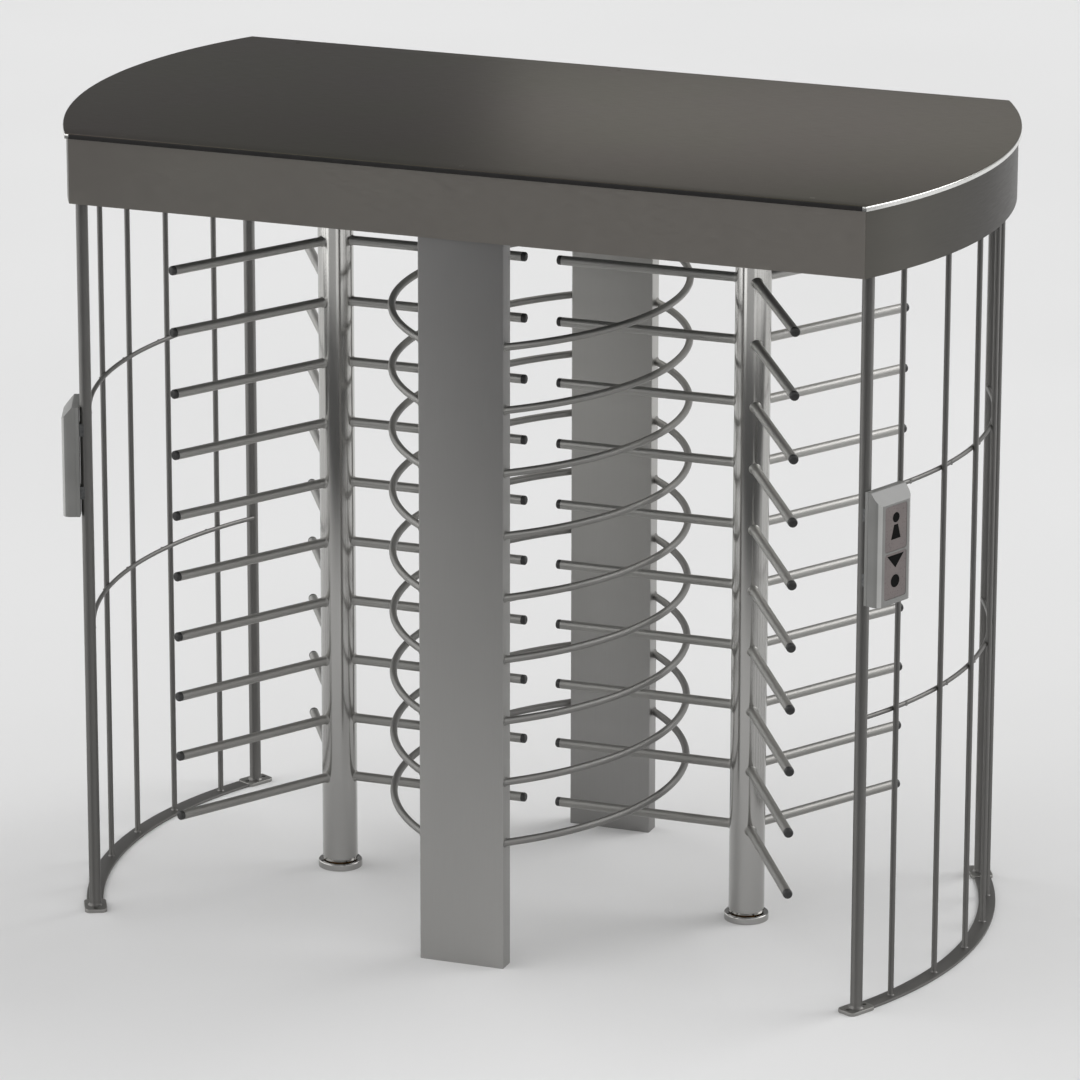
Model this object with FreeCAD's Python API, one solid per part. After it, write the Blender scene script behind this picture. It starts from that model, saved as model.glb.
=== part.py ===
"""Tandem full height turnstile: two three-winged rotors under one canopy.

The frame is right-handed and in millimetres. The origin is on the floor under the canopy's
centre, +X runs along the long side, +Y points from the front lane mouths to the rear ones and
+Z is up. The left half turned half a turn about Z gives the right half.
"""
import FreeCAD
import Part
import math
import os

from FreeCAD import Vector

# Overall height of the turnstile, floor to lid
OVERALL_HEIGHT = 2300.0

# Canopy: a folded lid over four side sheets and a soffit sheet
CANOPY_CAGE_MARGIN = 48.0
CANOPY_DIVIDER_MARGIN = 26.0
LID_SHEET = 2.5
LID_RIM_HEIGHT = 15.0
LID_EDGE_RADIUS = 6.0
LID_OVERHANG = 10.0
CANOPY_HEIGHT = 202.0
FASCIA_SHEET = 2.5
SOFFIT_SHEET = 3.0
COLUMN_HOLE_CLEARANCE = 3.0

# Header frame of welded square tube on the soffit
BEAM_SIZE = 50.0
BEAM_WALL = 3.0
LONG_BEAM_END_GAP = 6.0
END_BEAM_INSET = 14.5
CENTRE_BEAM_X = 100.0
PLATE_BEAM_OFFSET = 125.0

# Cage: corner posts, vertical bars and hoops on one arc about the origin
CAGE_RADIUS = 1290.0
POST_SIDE_MARGIN = 74.0
POST_DIAMETER = 34.0
POST_WALL = 2.5
BAR_COUNT = 5
BAR_PITCH = 219.5
BAR_FRONT_GAP = 199.7
BAR_DIAMETER = 16.0
CAGE_HOOP_DIAMETER = 13.0
CAGE_HOOP_NOTCH = 3.0
CAGE_HOOP_END_TRIM = 7.0
CAGE_HOOP_HEIGHTS = (842.0, 1477.0)
RAIL_WIDTH = 48.0
RAIL_THICKNESS = 8.0
FOOT_LENGTH = 94.0
FOOT_WIDTH = 64.0
FOOT_THICKNESS = 10.0
FOOT_CORNER_RADIUS = 16.0
FOOT_HOLE_SPACING = 64.0
ANCHOR_HOLE_DIAMETER = 13.0

# Divider columns of folded sheet between the two lanes
DIVIDER_WIDTH = 250.0
DIVIDER_INNER_Y = 579.0
DIVIDER_DEPTH = 57.0
DIVIDER_SHEET = 2.5
DIVIDER_EDGE_RADIUS = 4.0
DIVIDER_PLATE_THICKNESS = 8.0
DIVIDER_HOLE_SPACING = 150.0

# Barrier hoops: arcs that comb between the rotor arms
BARRIER_RADIUS = 842.0
BARRIER_REACH = 392.0
BARRIER_DIAMETER = 21.0
BARRIER_WALL = 2.0

# Rotors
ROTOR_OFFSET = 628.0
COLUMN_DIAMETER = 102.0
COLUMN_WALL = 5.0
COLUMN_TOP_OVERLAP = 12.0
WING_COUNT = 3
ARM_COUNT = 10
ARM_PITCH = 179.0
LOWEST_ARM_HEIGHT = 280.0
WING_RADIUS = 582.0
ARM_DIAMETER = 27.0
ARM_WALL = 2.0
CAP_LENGTH = 14.0
CAP_ROUNDING = 6.0
CAP_SPIGOT_LENGTH = 12.0
CAP_SPIGOT_CLEARANCE = 0.1

# Floor pivot under each rotor
PIVOT_FLANGE_DIAMETER = 128.0
PIVOT_FLANGE_HEIGHT = 20.0
PIVOT_FLANGE_EDGE = 4.0
PIVOT_HOLE_CIRCLE = 113.0
PIVOT_HOLE_DIAMETER = 8.0
PIVOT_HOLE_COUNT = 4
SPIGOT_DIAMETER = 40.0
SPIGOT_HEIGHT = 70.0
WASHER_THICKNESS = 3.0
WASHER_DIAMETER = 72.0
LOWER_BUSH_HEIGHT = 60.0
RUNNING_CLEARANCE = 0.05

# Top shaft and its bearing on the mechanism plate
SHAFT_DIAMETER = 40.0
SHAFT_PLUG_DEPTH = 30.0
PLATE_THICKNESS = 10.0
PLATE_HALF_LENGTH = 150.0
PLATE_FRONT = 178.0
PLATE_BACK = 182.0
PLATE_CORNER_RADIUS = 12.0
HOUSING_BORE = 56.0
HOUSING_BOSS_DIAMETER = 74.0
HOUSING_BOSS_DEPTH = 20.0
HOUSING_FLANGE_DIAMETER = 120.0
HOUSING_FLANGE_HEIGHT = 12.0
HOUSING_BOLT_CIRCLE = 98.0
HOUSING_BOLT_DIAMETER = 8.0
HOUSING_BOLT_COUNT = 4
BUSH_FLANGE_DIAMETER = 70.0
BUSH_FLANGE_HEIGHT = 3.0
HUB_DIAMETER = 70.0
HUB_LOWER_HEIGHT = 7.0
HUB_UPPER_HEIGHT = 8.0
NUT_DIAMETER = 60.0
NUT_HEIGHT = 10.0
SHAFT_END_HEIGHT = 5.0

# Lock wheel and its lever
LOCK_WHEEL_DIAMETER = 150.0
LOCK_WHEEL_THICKNESS = 12.0
NOTCH_COUNT = 12
NOTCH_WIDTH = 16.0
NOTCH_DEPTH = 11.0
TOOTH_WIDTH = 9.0
TOOTH_LENGTH = 11.0
TOOTH_LEAD = 1.0
TOOTH_REST_GAP = 2.0
LEVER_REACH = 85.0
LEVER_TAIL = 45.0
LEVER_WIDTH = 12.0
LEVER_THICKNESS = 8.0
LEVER_HUB_DIAMETER = 26.0
LEVER_PIN_DIAMETER = 12.0
LEVER_FOOT_DIAMETER = 16.0
LEVER_HEAD_DIAMETER = 18.0
LEVER_HEAD_HEIGHT = 4.0
TAIL_SLOT_WIDTH = 6.1
TAIL_SLOT_LENGTH = 8.0
TAIL_END_MARGIN = 8.0
SIDE_GAP = 0.3
SPRING_WIRE = 2.0
SPRING_TURNS = 6
SPRING_PITCH = 2.0
SPRING_GROOVE = 0.4
SPRING_LEG = 24.0

# Lock solenoid and its plunger
SOLENOID_LENGTH = 80.0
SOLENOID_WIDTH = 44.0
SOLENOID_GAP = 35.0
SOLENOID_EDGE_RADIUS = 3.0
PLUNGER_DIAMETER = 12.0
PLUNGER_DEPTH = 60.0
BORE_END_GAP = 10.0
CLEVIS_WIDTH = 16.0
CLEVIS_HEIGHT = 20.0
CLEVIS_WEB = 8.0
CLEVIS_HALF_LENGTH = 11.0
CLEVIS_PIN_DIAMETER = 6.0

# Damper gears
GEAR_MODULE = 4.0
GEAR_TEETH = 48
PINION_TEETH = 16
GEAR_THICKNESS = 12.0
PRESSURE_ANGLE = 20.0
FLANK_RELIEF = 0.12
ROOT_FACTOR = 1.25
LIGHTENING_COUNT = 6
LIGHTENING_DIAMETER = 30.0
LIGHTENING_RADIUS = 58.0
DAMPER_DIAMETER = 80.0
DAMPER_HEIGHT = 36.0
DAMPER_SHAFT_DIAMETER = 16.0
DAMPER_SHAFT_DEPTH = 25.0
PINION_HUB_DIAMETER = 26.0
DAMPER_EDGE_RADIUS = 3.0

# Fastenings of lid and rear cover
STANDOFF_DIAMETER = 24.0
STANDOFF_END_INSET = 150.0
LID_SCREW_DIAMETER = 8.0
LID_SCREW_HEAD = 15.0
LID_SCREW_DEPTH = 20.0
COVER_SCREW_COUNT = 6
COVER_SCREW_END_INSET = 150.0
COVER_SCREW_DIAMETER = 6.0
COVER_SCREW_HEAD = 12.0
COVER_SCREW_HEAD_HEIGHT = 3.5
COVER_SCREW_LENGTH = 12.0

# Electronics on a tray between the rotors
TRAY_HALF_WIDTH = 110.0
TRAY_HALF_DEPTH = 170.0
TRAY_SHEET = 2.0
SUPPLY_SIZE = (130.0, 120.0, 55.0)
SUPPLY_Y = -85.0
BOARD_SIZE = (150.0, 110.0, 1.6)
BOARD_Y = 60.0
BOARD_STANDOFF_HEIGHT = 8.0
BOARD_STANDOFF_DIAMETER = 8.0
BOARD_HOLE_INSET = 8.0
RELAY_SIZE = (19.0, 15.0, 16.0)
RELAY_COUNT = 4
RELAY_PITCH = 30.0
RELAY_SHIFT = -30.0
PROCESSOR_SIZE = (20.0, 20.0, 2.0)
PROCESSOR_SHIFT = 8.0
CONNECTOR_SIZE = (60.0, 10.0, 12.0)
CONNECTOR_SHIFT = 36.0
TERMINAL_SIZE = (120.0, 22.0, 30.0)
TERMINAL_Y = 145.0
GLAND_BODY_DIAMETER = 25.0
GLAND_NUT_DIAMETER = 34.0
GLAND_NUT_THICKNESS = 7.0
GLAND_CAP_LENGTH = 20.0
GLAND_CABLE_DIAMETER = 12.0
GLAND_X = 150.0

# Card readers on the outer side of the two front corner posts
READER_BOTTOM = 1180.0
READER_HEIGHT = 320.0
READER_DEPTH = 50.0
READER_WIDTH = 147.0
READER_SHIFT = 50.5
READER_TURN = 6.0
READER_POST_GAP = 2.0
READER_WALL = 3.0
READER_SLOPE_HEIGHT = 36.0
READER_SLOPE_DEPTH = 30.0
READER_EDGE_RADIUS = 20.0
WINDOW_WIDTH = 92.0
WINDOW_HEIGHT = 128.0
WINDOW_THICKNESS = 2.0
WINDOW_LOW = 16.0
WINDOW_GAP = 6.0
WINDOW_CORNER_RADIUS = 8.0
MARK_DEPTH = 0.6
MARK_SPACING = 92.0
MARK_RAISE = 12.0
MARK_DOT_RADIUS = 18.0
MARK_HEAD_RADIUS = 14.0
MARK_BODY_WIDTH = 40.0
MARK_BODY_HEIGHT = 40.0
MARK_BODY_TOP_WIDTH = 16.0
MARK_ARROW_WIDTH = 70.0
MARK_ARROW_HEIGHT = 36.0
MARK_GAP = 6.0
SADDLE_HEIGHT = 36.0
SADDLE_WIDTH = 32.0
SADDLE_INSET = 50.0
READER_BOARD_SIZE = (1.6, 80.0, 220.0)
READER_BOSS_DIAMETER = 8.0
READER_BOSS_LENGTH = 10.0
READER_BOSS_INSET = 8.0

# Sizes and levels worked out from the sizes above
CANOPY_RADIUS = CAGE_RADIUS + CANOPY_CAGE_MARGIN
CANOPY_HALF_DEPTH = DIVIDER_INNER_Y + DIVIDER_DEPTH + CANOPY_DIVIDER_MARGIN
POST_Y = CANOPY_HALF_DEPTH - POST_SIDE_MARGIN
POST_ANGLE = math.degrees(math.asin(POST_Y / CAGE_RADIUS))
BAR_PITCH_ANGLE = math.degrees(BAR_PITCH / CAGE_RADIUS)
BAR_FRONT_ANGLE = math.degrees(BAR_FRONT_GAP / CAGE_RADIUS)
CANOPY_BOTTOM = OVERALL_HEIGHT - CANOPY_HEIGHT
LID_UNDERSIDE = OVERALL_HEIGHT - LID_SHEET
FASCIA_RADIUS = CANOPY_RADIUS - LID_OVERHANG
FASCIA_HALF_DEPTH = CANOPY_HALF_DEPTH - LID_OVERHANG
SOFFIT_TOP = CANOPY_BOTTOM + SOFFIT_SHEET
BEAM_TOP = SOFFIT_TOP + BEAM_SIZE
PLATE_TOP = BEAM_TOP + PLATE_THICKNESS
COLUMN_TOP = CANOPY_BOTTOM + COLUMN_TOP_OVERLAP
COLUMN_RADIUS = COLUMN_DIAMETER / 2
COLUMN_BORE_RADIUS = COLUMN_RADIUS - COLUMN_WALL
WASHER_TOP = PIVOT_FLANGE_HEIGHT + WASHER_THICKNESS
BUSH_TOP = PLATE_TOP + HOUSING_FLANGE_HEIGHT + BUSH_FLANGE_HEIGHT
LOCK_WHEEL_BOTTOM = BUSH_TOP + HUB_LOWER_HEIGHT
LOCK_WHEEL_TOP = LOCK_WHEEL_BOTTOM + LOCK_WHEEL_THICKNESS
GEAR_BOTTOM = LOCK_WHEEL_TOP + HUB_UPPER_HEIGHT
GEAR_TOP = GEAR_BOTTOM + GEAR_THICKNESS
SHAFT_TOP = GEAR_TOP + NUT_HEIGHT + SHAFT_END_HEIGHT
LEVER_BOTTOM = LOCK_WHEEL_BOTTOM + (LOCK_WHEEL_THICKNESS - LEVER_THICKNESS) / 2
LEVER_TOP = LEVER_BOTTOM + LEVER_THICKNESS
LEVER_MIDDLE = (LEVER_BOTTOM + LEVER_TOP) / 2
TOOTH_TIP_RADIUS = LOCK_WHEEL_DIAMETER / 2 + TOOTH_REST_GAP
LEVER_PIVOT_X = LEVER_REACH
LEVER_PIVOT_Y = -(TOOTH_TIP_RADIUS + TOOTH_LENGTH + LEVER_WIDTH / 2)
TAIL_PIN_Y = LEVER_PIVOT_Y - LEVER_TAIL
GEAR_DISTANCE = GEAR_MODULE * (GEAR_TEETH + PINION_TEETH) / 2
LONG_BEAM_OUTER_Y = FASCIA_HALF_DEPTH - FASCIA_SHEET
LONG_BEAM_INNER_Y = LONG_BEAM_OUTER_Y - BEAM_SIZE
ARM_TUBE_END = WING_RADIUS - CAP_LENGTH
BARRIER_COUNT = ARM_COUNT - 1
LOWEST_BARRIER_HEIGHT = LOWEST_ARM_HEIGHT + ARM_PITCH / 2
CUT_MARGIN = 10.0

ORIGIN = Vector(0, 0, 0)
UP = Vector(0, 0, 1)


def block(x_low, x_high, y_low, y_high, z_low, z_high):
    """A box between two corners."""
    return Part.makeBox(x_high - x_low, y_high - y_low, z_high - z_low, Vector(x_low, y_low, z_low))


def rod(radius, z_low, z_high, x=0.0, y=0.0):
    """An upright cylinder."""
    return Part.makeCylinder(radius, z_high - z_low, Vector(x, y, z_low), UP)


def pipe(outer_radius, inner_radius, z_low, z_high, x=0.0, y=0.0):
    """An upright tube or ring, open at both ends."""
    return rod(outer_radius, z_low, z_high, x, y).cut(rod(inner_radius, z_low, z_high, x, y))


def lying_rod(radius, start, direction, length):
    """A cylinder from a point along a direction."""
    return Part.makeCylinder(radius, length, start, direction)


def turned(shape, degrees, centre=ORIGIN):
    """A copy turned about an upright axis."""
    copy = shape.copy()
    copy.rotate(centre, UP, degrees)
    return copy


def moved(shape, x=0.0, y=0.0, z=0.0):
    """A copy shifted without turning."""
    copy = shape.copy()
    copy.translate(Vector(x, y, z))
    return copy


def polar(radius, degrees, z=0.0):
    """The point at a radius and angle about the origin."""
    angle = math.radians(degrees)
    return Vector(radius * math.cos(angle), radius * math.sin(angle), z)


def arc_band(inner_radius, outer_radius, z_low, z_high, start, end):
    """A flat curved band about the origin, between two angles."""
    base = Vector(0, 0, z_low)
    height = z_high - z_low
    outer = Part.makeCylinder(outer_radius, height, base, UP, end - start)
    inner = Part.makeCylinder(inner_radius, height, base, UP, end - start)
    return turned(outer.cut(inner), start)


def arc_rod(path_radius, rod_radius, z, start, end):
    """A round rod bent to an arc about the origin, between two angles."""
    circle = Part.makeCircle(rod_radius, Vector(path_radius, 0, z), Vector(0, 1, 0))
    disc = Part.Face(Part.Wire(circle))
    return turned(disc.revolve(ORIGIN, UP, end - start), start)


def round_upright_edges(shape, radius, wanted=None):
    """Round the upright straight edges that the test wanted picks, or all of them."""
    edges = []
    for edge in shape.Edges:
        if edge.Curve.TypeId != "Part::GeomLine":
            continue
        if abs(edge.tangentAt(edge.FirstParameter).z) < 0.99:
            continue
        if wanted is None or wanted(edge.CenterOfMass):
            edges.append(edge)
    return shape.makeFillet(radius, edges)


def round_level_edges(shape, radius, z):
    """Round all edges that lie at one height."""
    edges = []
    for edge in shape.Edges:
        if abs(edge.BoundBox.ZMin - z) < 0.01 and abs(edge.BoundBox.ZMax - z) < 0.01:
            edges.append(edge)
    return shape.makeFillet(radius, edges)


def joined(shapes):
    """Fuse touching shapes into one clean solid."""
    result = shapes[0]
    for shape in shapes[1:]:
        result = result.fuse(shape)
    return result.removeSplitter()


def cut_all(shape, tools):
    """Cut several tools out of a shape."""
    for tool in tools:
        shape = shape.cut(tool)
    return shape


def other_half(shape):
    """The same piece on the right half of the turnstile."""
    return turned(shape, 180)


def to_left_rotor(shape):
    """Move a piece from the rotor's own axis to the left rotor."""
    return moved(shape, -ROTOR_OFFSET)


def both_rotors(shapes):
    """Copies of pieces given about the rotor's own axis, at both rotors."""
    left = [to_left_rotor(shape) for shape in shapes]
    return left + [other_half(shape) for shape in left]


def canopy_corner(radius, half_depth):
    """X of the corner where the canopy's arc meets its straight side."""
    return math.sqrt(radius ** 2 - half_depth ** 2)


def canopy_slab(radius, half_depth, z_low, z_high):
    """A slab with the canopy's outline: two straight sides joined by two arcs."""
    corner = canopy_corner(radius, half_depth)
    front_left = Vector(-corner, -half_depth, z_low)
    front_right = Vector(corner, -half_depth, z_low)
    back_right = Vector(corner, half_depth, z_low)
    back_left = Vector(-corner, half_depth, z_low)
    edges = [
        Part.LineSegment(front_left, front_right).toShape(),
        Part.Arc(front_right, Vector(radius, 0, z_low), back_right).toShape(),
        Part.LineSegment(back_right, back_left).toShape(),
        Part.Arc(back_left, Vector(-radius, 0, z_low), front_left).toShape(),
    ]
    return Part.Face(Part.Wire(edges)).extrude(Vector(0, 0, z_high - z_low))


def canopy_lid():
    """Folded lid: a top sheet with a short rim that hangs outside the side sheets."""
    rim_bottom = OVERALL_HEIGHT - LID_RIM_HEIGHT
    lid = canopy_slab(CANOPY_RADIUS, CANOPY_HALF_DEPTH, rim_bottom, OVERALL_HEIGHT)
    lid = round_level_edges(lid, LID_EDGE_RADIUS, OVERALL_HEIGHT)
    inner_radius = CANOPY_RADIUS - LID_SHEET
    inner_half_depth = CANOPY_HALF_DEPTH - LID_SHEET
    hollow = canopy_slab(inner_radius, inner_half_depth, rim_bottom - CUT_MARGIN, LID_UNDERSIDE)
    hollow = round_level_edges(hollow, LID_EDGE_RADIUS - LID_SHEET, LID_UNDERSIDE)
    return cut_all(lid.cut(hollow), lid_screw_solids())


def fascia_sector(reach, middle_angle, half_angle, z_low, z_high):
    """An upright wedge from the origin that picks one side out of the fascia ring."""
    low = polar(reach, middle_angle - half_angle, z_low)
    high = polar(reach, middle_angle + half_angle, z_low)
    far = polar(reach / math.cos(math.radians(half_angle)), middle_angle, z_low)
    start = Vector(0, 0, z_low)
    wire = Part.makePolygon([start, low, far, high, start])
    return Part.Face(wire).extrude(Vector(0, 0, z_high - z_low))


def canopy_fascias():
    """The four side sheets of the canopy, mitred at its corners."""
    outer = canopy_slab(FASCIA_RADIUS, FASCIA_HALF_DEPTH, CANOPY_BOTTOM, LID_UNDERSIDE)
    inner_radius = FASCIA_RADIUS - FASCIA_SHEET
    inner_half_depth = FASCIA_HALF_DEPTH - FASCIA_SHEET
    inner = canopy_slab(inner_radius, inner_half_depth, CANOPY_BOTTOM, LID_UNDERSIDE)
    ring = outer.cut(inner)
    corner_x = canopy_corner(FASCIA_RADIUS, FASCIA_HALF_DEPTH)
    corner_angle = math.degrees(math.atan2(FASCIA_HALF_DEPTH, corner_x))
    sides = {}
    for name, middle, half in (
        ("front", 270, 90 - corner_angle),
        ("rear", 90, 90 - corner_angle),
        ("right", 0, corner_angle),
        ("left", 180, corner_angle),
    ):
        wedge = fascia_sector(2 * FASCIA_RADIUS, middle, half, CANOPY_BOTTOM, LID_UNDERSIDE)
        sides[name] = ring.common(wedge)
    return sides


def canopy_soffit():
    """Bottom sheet of the canopy with a clearance hole for each rotor column."""
    inner_radius = FASCIA_RADIUS - FASCIA_SHEET
    inner_half_depth = FASCIA_HALF_DEPTH - FASCIA_SHEET
    sheet = canopy_slab(inner_radius, inner_half_depth, CANOPY_BOTTOM, SOFFIT_TOP)
    hole_radius = COLUMN_RADIUS + COLUMN_HOLE_CLEARANCE
    return cut_all(sheet, both_rotors([rod(hole_radius, CANOPY_BOTTOM, SOFFIT_TOP)]))


def square_beam(x_low, x_high, y_low, y_high, along):
    """A hollow square tube lying on the soffit along the named axis, x or y."""
    outer = block(x_low, x_high, y_low, y_high, SOFFIT_TOP, BEAM_TOP)
    x_wall = 0.0 if along == "x" else BEAM_WALL
    y_wall = BEAM_WALL if along == "x" else 0.0
    inner = block(
        x_low + x_wall, x_high - x_wall, y_low + y_wall, y_high - y_wall,
        SOFFIT_TOP + BEAM_WALL, BEAM_TOP - BEAM_WALL,
    )
    return outer.cut(inner)


def long_beam_half_length():
    """Half the length of the header's long beams, which end just inside the end fascias."""
    corner = canopy_corner(FASCIA_RADIUS - FASCIA_SHEET, LONG_BEAM_OUTER_Y)
    return corner - LONG_BEAM_END_GAP


def header_frame():
    """Two long beams inside the straight sides, joined by cross beams."""
    half_length = long_beam_half_length()
    end_beam_x = half_length - END_BEAM_INSET - BEAM_SIZE / 2
    beams = []
    for y_low in (-LONG_BEAM_OUTER_Y, LONG_BEAM_INNER_Y):
        beam = square_beam(-half_length, half_length, y_low, y_low + BEAM_SIZE, "x")
        beams.append(cut_all(beam, cover_screw_solids()))
    plate_beams = [ROTOR_OFFSET - PLATE_BEAM_OFFSET, ROTOR_OFFSET + PLATE_BEAM_OFFSET]
    for distance in [CENTRE_BEAM_X, end_beam_x] + plate_beams:
        for x in (-distance, distance):
            x_low = x - BEAM_SIZE / 2
            beams.append(square_beam(
                x_low, x_low + BEAM_SIZE, -LONG_BEAM_INNER_Y, LONG_BEAM_INNER_Y, "y"))
    return beams


def standoff_places():
    """Where the lid's standoffs stand on the long beams."""
    middle_y = (LONG_BEAM_INNER_Y + LONG_BEAM_OUTER_Y) / 2
    outer_x = long_beam_half_length() - STANDOFF_END_INSET
    places = []
    for x in (-outer_x, 0.0, outer_x):
        for y in (-middle_y, middle_y):
            places.append((x, y))
    return places


def lid_screw_solids():
    """Countersunk screws that hold the lid down, flush with its top."""
    screws = []
    head_height = (LID_SCREW_HEAD - LID_SCREW_DIAMETER) / 2
    for x, y in standoff_places():
        head = Part.makeCone(
            LID_SCREW_DIAMETER / 2, LID_SCREW_HEAD / 2, head_height,
            Vector(x, y, OVERALL_HEIGHT - head_height), UP)
        shank_bottom = OVERALL_HEIGHT - LID_SCREW_DEPTH
        shank = rod(LID_SCREW_DIAMETER / 2, shank_bottom, OVERALL_HEIGHT - head_height, x, y)
        screws.append(joined([head, shank]))
    return screws


def lid_standoffs():
    """Round standoffs from the long beams to the lid, tapped for its screws."""
    posts = []
    for x, y in standoff_places():
        post = rod(STANDOFF_DIAMETER / 2, BEAM_TOP, LID_UNDERSIDE, x, y)
        posts.append(cut_all(post, lid_screw_solids()))
    return posts


def cover_screw_solids():
    """Domed screws of the rear cover, into the rear long beam."""
    screws = []
    z = (SOFFIT_TOP + BEAM_TOP) / 2
    outer_x = long_beam_half_length() - COVER_SCREW_END_INSET
    step = 2 * outer_x / (COVER_SCREW_COUNT - 1)
    inward = Vector(0, -1, 0)
    for index in range(COVER_SCREW_COUNT):
        x = -outer_x + index * step
        head_start = Vector(x, FASCIA_HALF_DEPTH + COVER_SCREW_HEAD_HEIGHT, z)
        head = lying_rod(COVER_SCREW_HEAD / 2, head_start, inward, COVER_SCREW_HEAD_HEIGHT)
        face_y = head_start.y
        rim = [edge for edge in head.Edges if abs(edge.BoundBox.YMin - face_y) < 0.01]
        head = head.makeFillet(COVER_SCREW_HEAD_HEIGHT * 0.7, rim)
        shank_start = Vector(x, FASCIA_HALF_DEPTH, z)
        shank = lying_rod(COVER_SCREW_DIAMETER / 2, shank_start, inward, COVER_SCREW_LENGTH)
        screws.append(joined([head, shank]))
    return screws


def gland_position():
    """Centre of the cable gland on the rear cover."""
    return Vector(GLAND_X, FASCIA_HALF_DEPTH, (BEAM_TOP + LID_UNDERSIDE) / 2)


def cable_gland():
    """Gland for the site's supply cable: body, lock nut inside, nut and cap outside."""
    centre = gland_position()
    outward = Vector(0, 1, 0)
    inside = centre - outward * (FASCIA_SHEET + GLAND_NUT_THICKNESS)
    body_length = FASCIA_SHEET + GLAND_NUT_THICKNESS
    body = lying_rod(GLAND_BODY_DIAMETER / 2, inside, outward, body_length)
    lock_nut = lying_rod(GLAND_NUT_DIAMETER / 2, inside, outward, GLAND_NUT_THICKNESS)
    outer_nut = lying_rod(GLAND_NUT_DIAMETER / 2, centre, outward, GLAND_NUT_THICKNESS)
    cap_start = centre + outward * GLAND_NUT_THICKNESS
    cap = Part.makeCone(
        GLAND_NUT_DIAMETER / 2, GLAND_BODY_DIAMETER / 2, GLAND_CAP_LENGTH, cap_start, outward)
    bore = lying_rod(GLAND_CABLE_DIAMETER / 2, inside, outward, 2 * body_length + GLAND_CAP_LENGTH)
    return joined([body, lock_nut, outer_nut, cap]).cut(bore)


def rear_cover(sheet):
    """The rear side sheet with holes for its screws and for the gland."""
    hole_start = gland_position() - Vector(0, CUT_MARGIN, 0)
    hole = lying_rod(GLAND_BODY_DIAMETER / 2, hole_start, Vector(0, 1, 0), 2 * CUT_MARGIN)
    return cut_all(sheet, cover_screw_solids() + [hole])


def left_cage_angles():
    """Polar angles of the left cage's bars, counted from its front post."""
    first = 180 + POST_ANGLE - BAR_FRONT_ANGLE
    return [first - BAR_PITCH_ANGLE * index for index in range(BAR_COUNT)]


def left_post_angles():
    """Polar angles of the left cage's rear and front posts."""
    return [180 - POST_ANGLE, 180 + POST_ANGLE]


def left_corner_posts():
    """Two hollow corner posts from their foot plates to the soffit."""
    posts = []
    for angle in left_post_angles():
        centre = polar(CAGE_RADIUS, angle)
        outer = POST_DIAMETER / 2
        posts.append(pipe(outer, outer - POST_WALL, FOOT_THICKNESS, CANOPY_BOTTOM, centre.x, centre.y))
    return posts


def left_cage_bars():
    """Round bars from the base rail to the soffit."""
    bars = []
    for angle in left_cage_angles():
        centre = polar(CAGE_RADIUS, angle)
        bars.append(rod(BAR_DIAMETER / 2, RAIL_THICKNESS, CANOPY_BOTTOM, centre.x, centre.y))
    return bars


def left_cage_hoops():
    """Bent rods inside the bars, notched where they are welded to bars and posts."""
    radius = CAGE_RADIUS - (BAR_DIAMETER + CAGE_HOOP_DIAMETER) / 2 + CAGE_HOOP_NOTCH
    post_solids = []
    for angle in left_post_angles():
        centre = polar(CAGE_RADIUS, angle)
        post_solids.append(rod(POST_DIAMETER / 2, 0, CANOPY_BOTTOM, centre.x, centre.y))
    trim = math.degrees(CAGE_HOOP_END_TRIM / radius)
    hoops = []
    for height in CAGE_HOOP_HEIGHTS:
        rear_angle, front_angle = left_post_angles()
        hoop = arc_rod(
            radius, CAGE_HOOP_DIAMETER / 2, height, rear_angle + trim, front_angle - trim)
        hoops.append(cut_all(hoop, post_solids + left_cage_bars()))
    return hoops


def foot_plate(post_angle):
    """Foot plate under a corner post, lying along the cage's arc."""
    half_length = FOOT_LENGTH / 2
    half_width = FOOT_WIDTH / 2
    plate = block(-half_width, half_width, -half_length, half_length, 0, FOOT_THICKNESS)
    plate = round_upright_edges(plate, FOOT_CORNER_RADIUS)
    for y in (-FOOT_HOLE_SPACING / 2, FOOT_HOLE_SPACING / 2):
        plate = plate.cut(rod(ANCHOR_HOLE_DIAMETER / 2, 0, FOOT_THICKNESS, 0, y))
    return turned(moved(plate, CAGE_RADIUS), post_angle)


def left_foot_plates():
    """Foot plates of the left cage's two posts."""
    return [foot_plate(angle) for angle in left_post_angles()]


def left_base_rail():
    """Flat rail on the floor under the bars, butted against the foot plates."""
    rear_angle, front_angle = left_post_angles()
    inner = CAGE_RADIUS - RAIL_WIDTH / 2
    outer = CAGE_RADIUS + RAIL_WIDTH / 2
    rail = arc_band(inner, outer, 0, RAIL_THICKNESS, rear_angle, front_angle)
    trim = block(-RAIL_WIDTH, RAIL_WIDTH, -FOOT_LENGTH / 2, FOOT_LENGTH / 2, 0, RAIL_THICKNESS)
    trims = [turned(moved(trim, CAGE_RADIUS), angle) for angle in (rear_angle, front_angle)]
    return cut_all(rail, trims)


def divider_column():
    """Front divider: a closed column of folded sheet, floor to soffit."""
    half = DIVIDER_WIDTH / 2
    outer_y = -(DIVIDER_INNER_Y + DIVIDER_DEPTH)
    inner_y = -DIVIDER_INNER_Y
    column = block(-half, half, outer_y, inner_y, 0, CANOPY_BOTTOM)
    column = round_upright_edges(column, DIVIDER_EDGE_RADIUS)
    wall = DIVIDER_SHEET
    hollow = block(-half + wall, half - wall, outer_y + wall, inner_y - wall, 0, CANOPY_BOTTOM)
    hollow = round_upright_edges(hollow, DIVIDER_EDGE_RADIUS - wall)
    return column.cut(hollow)


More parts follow.
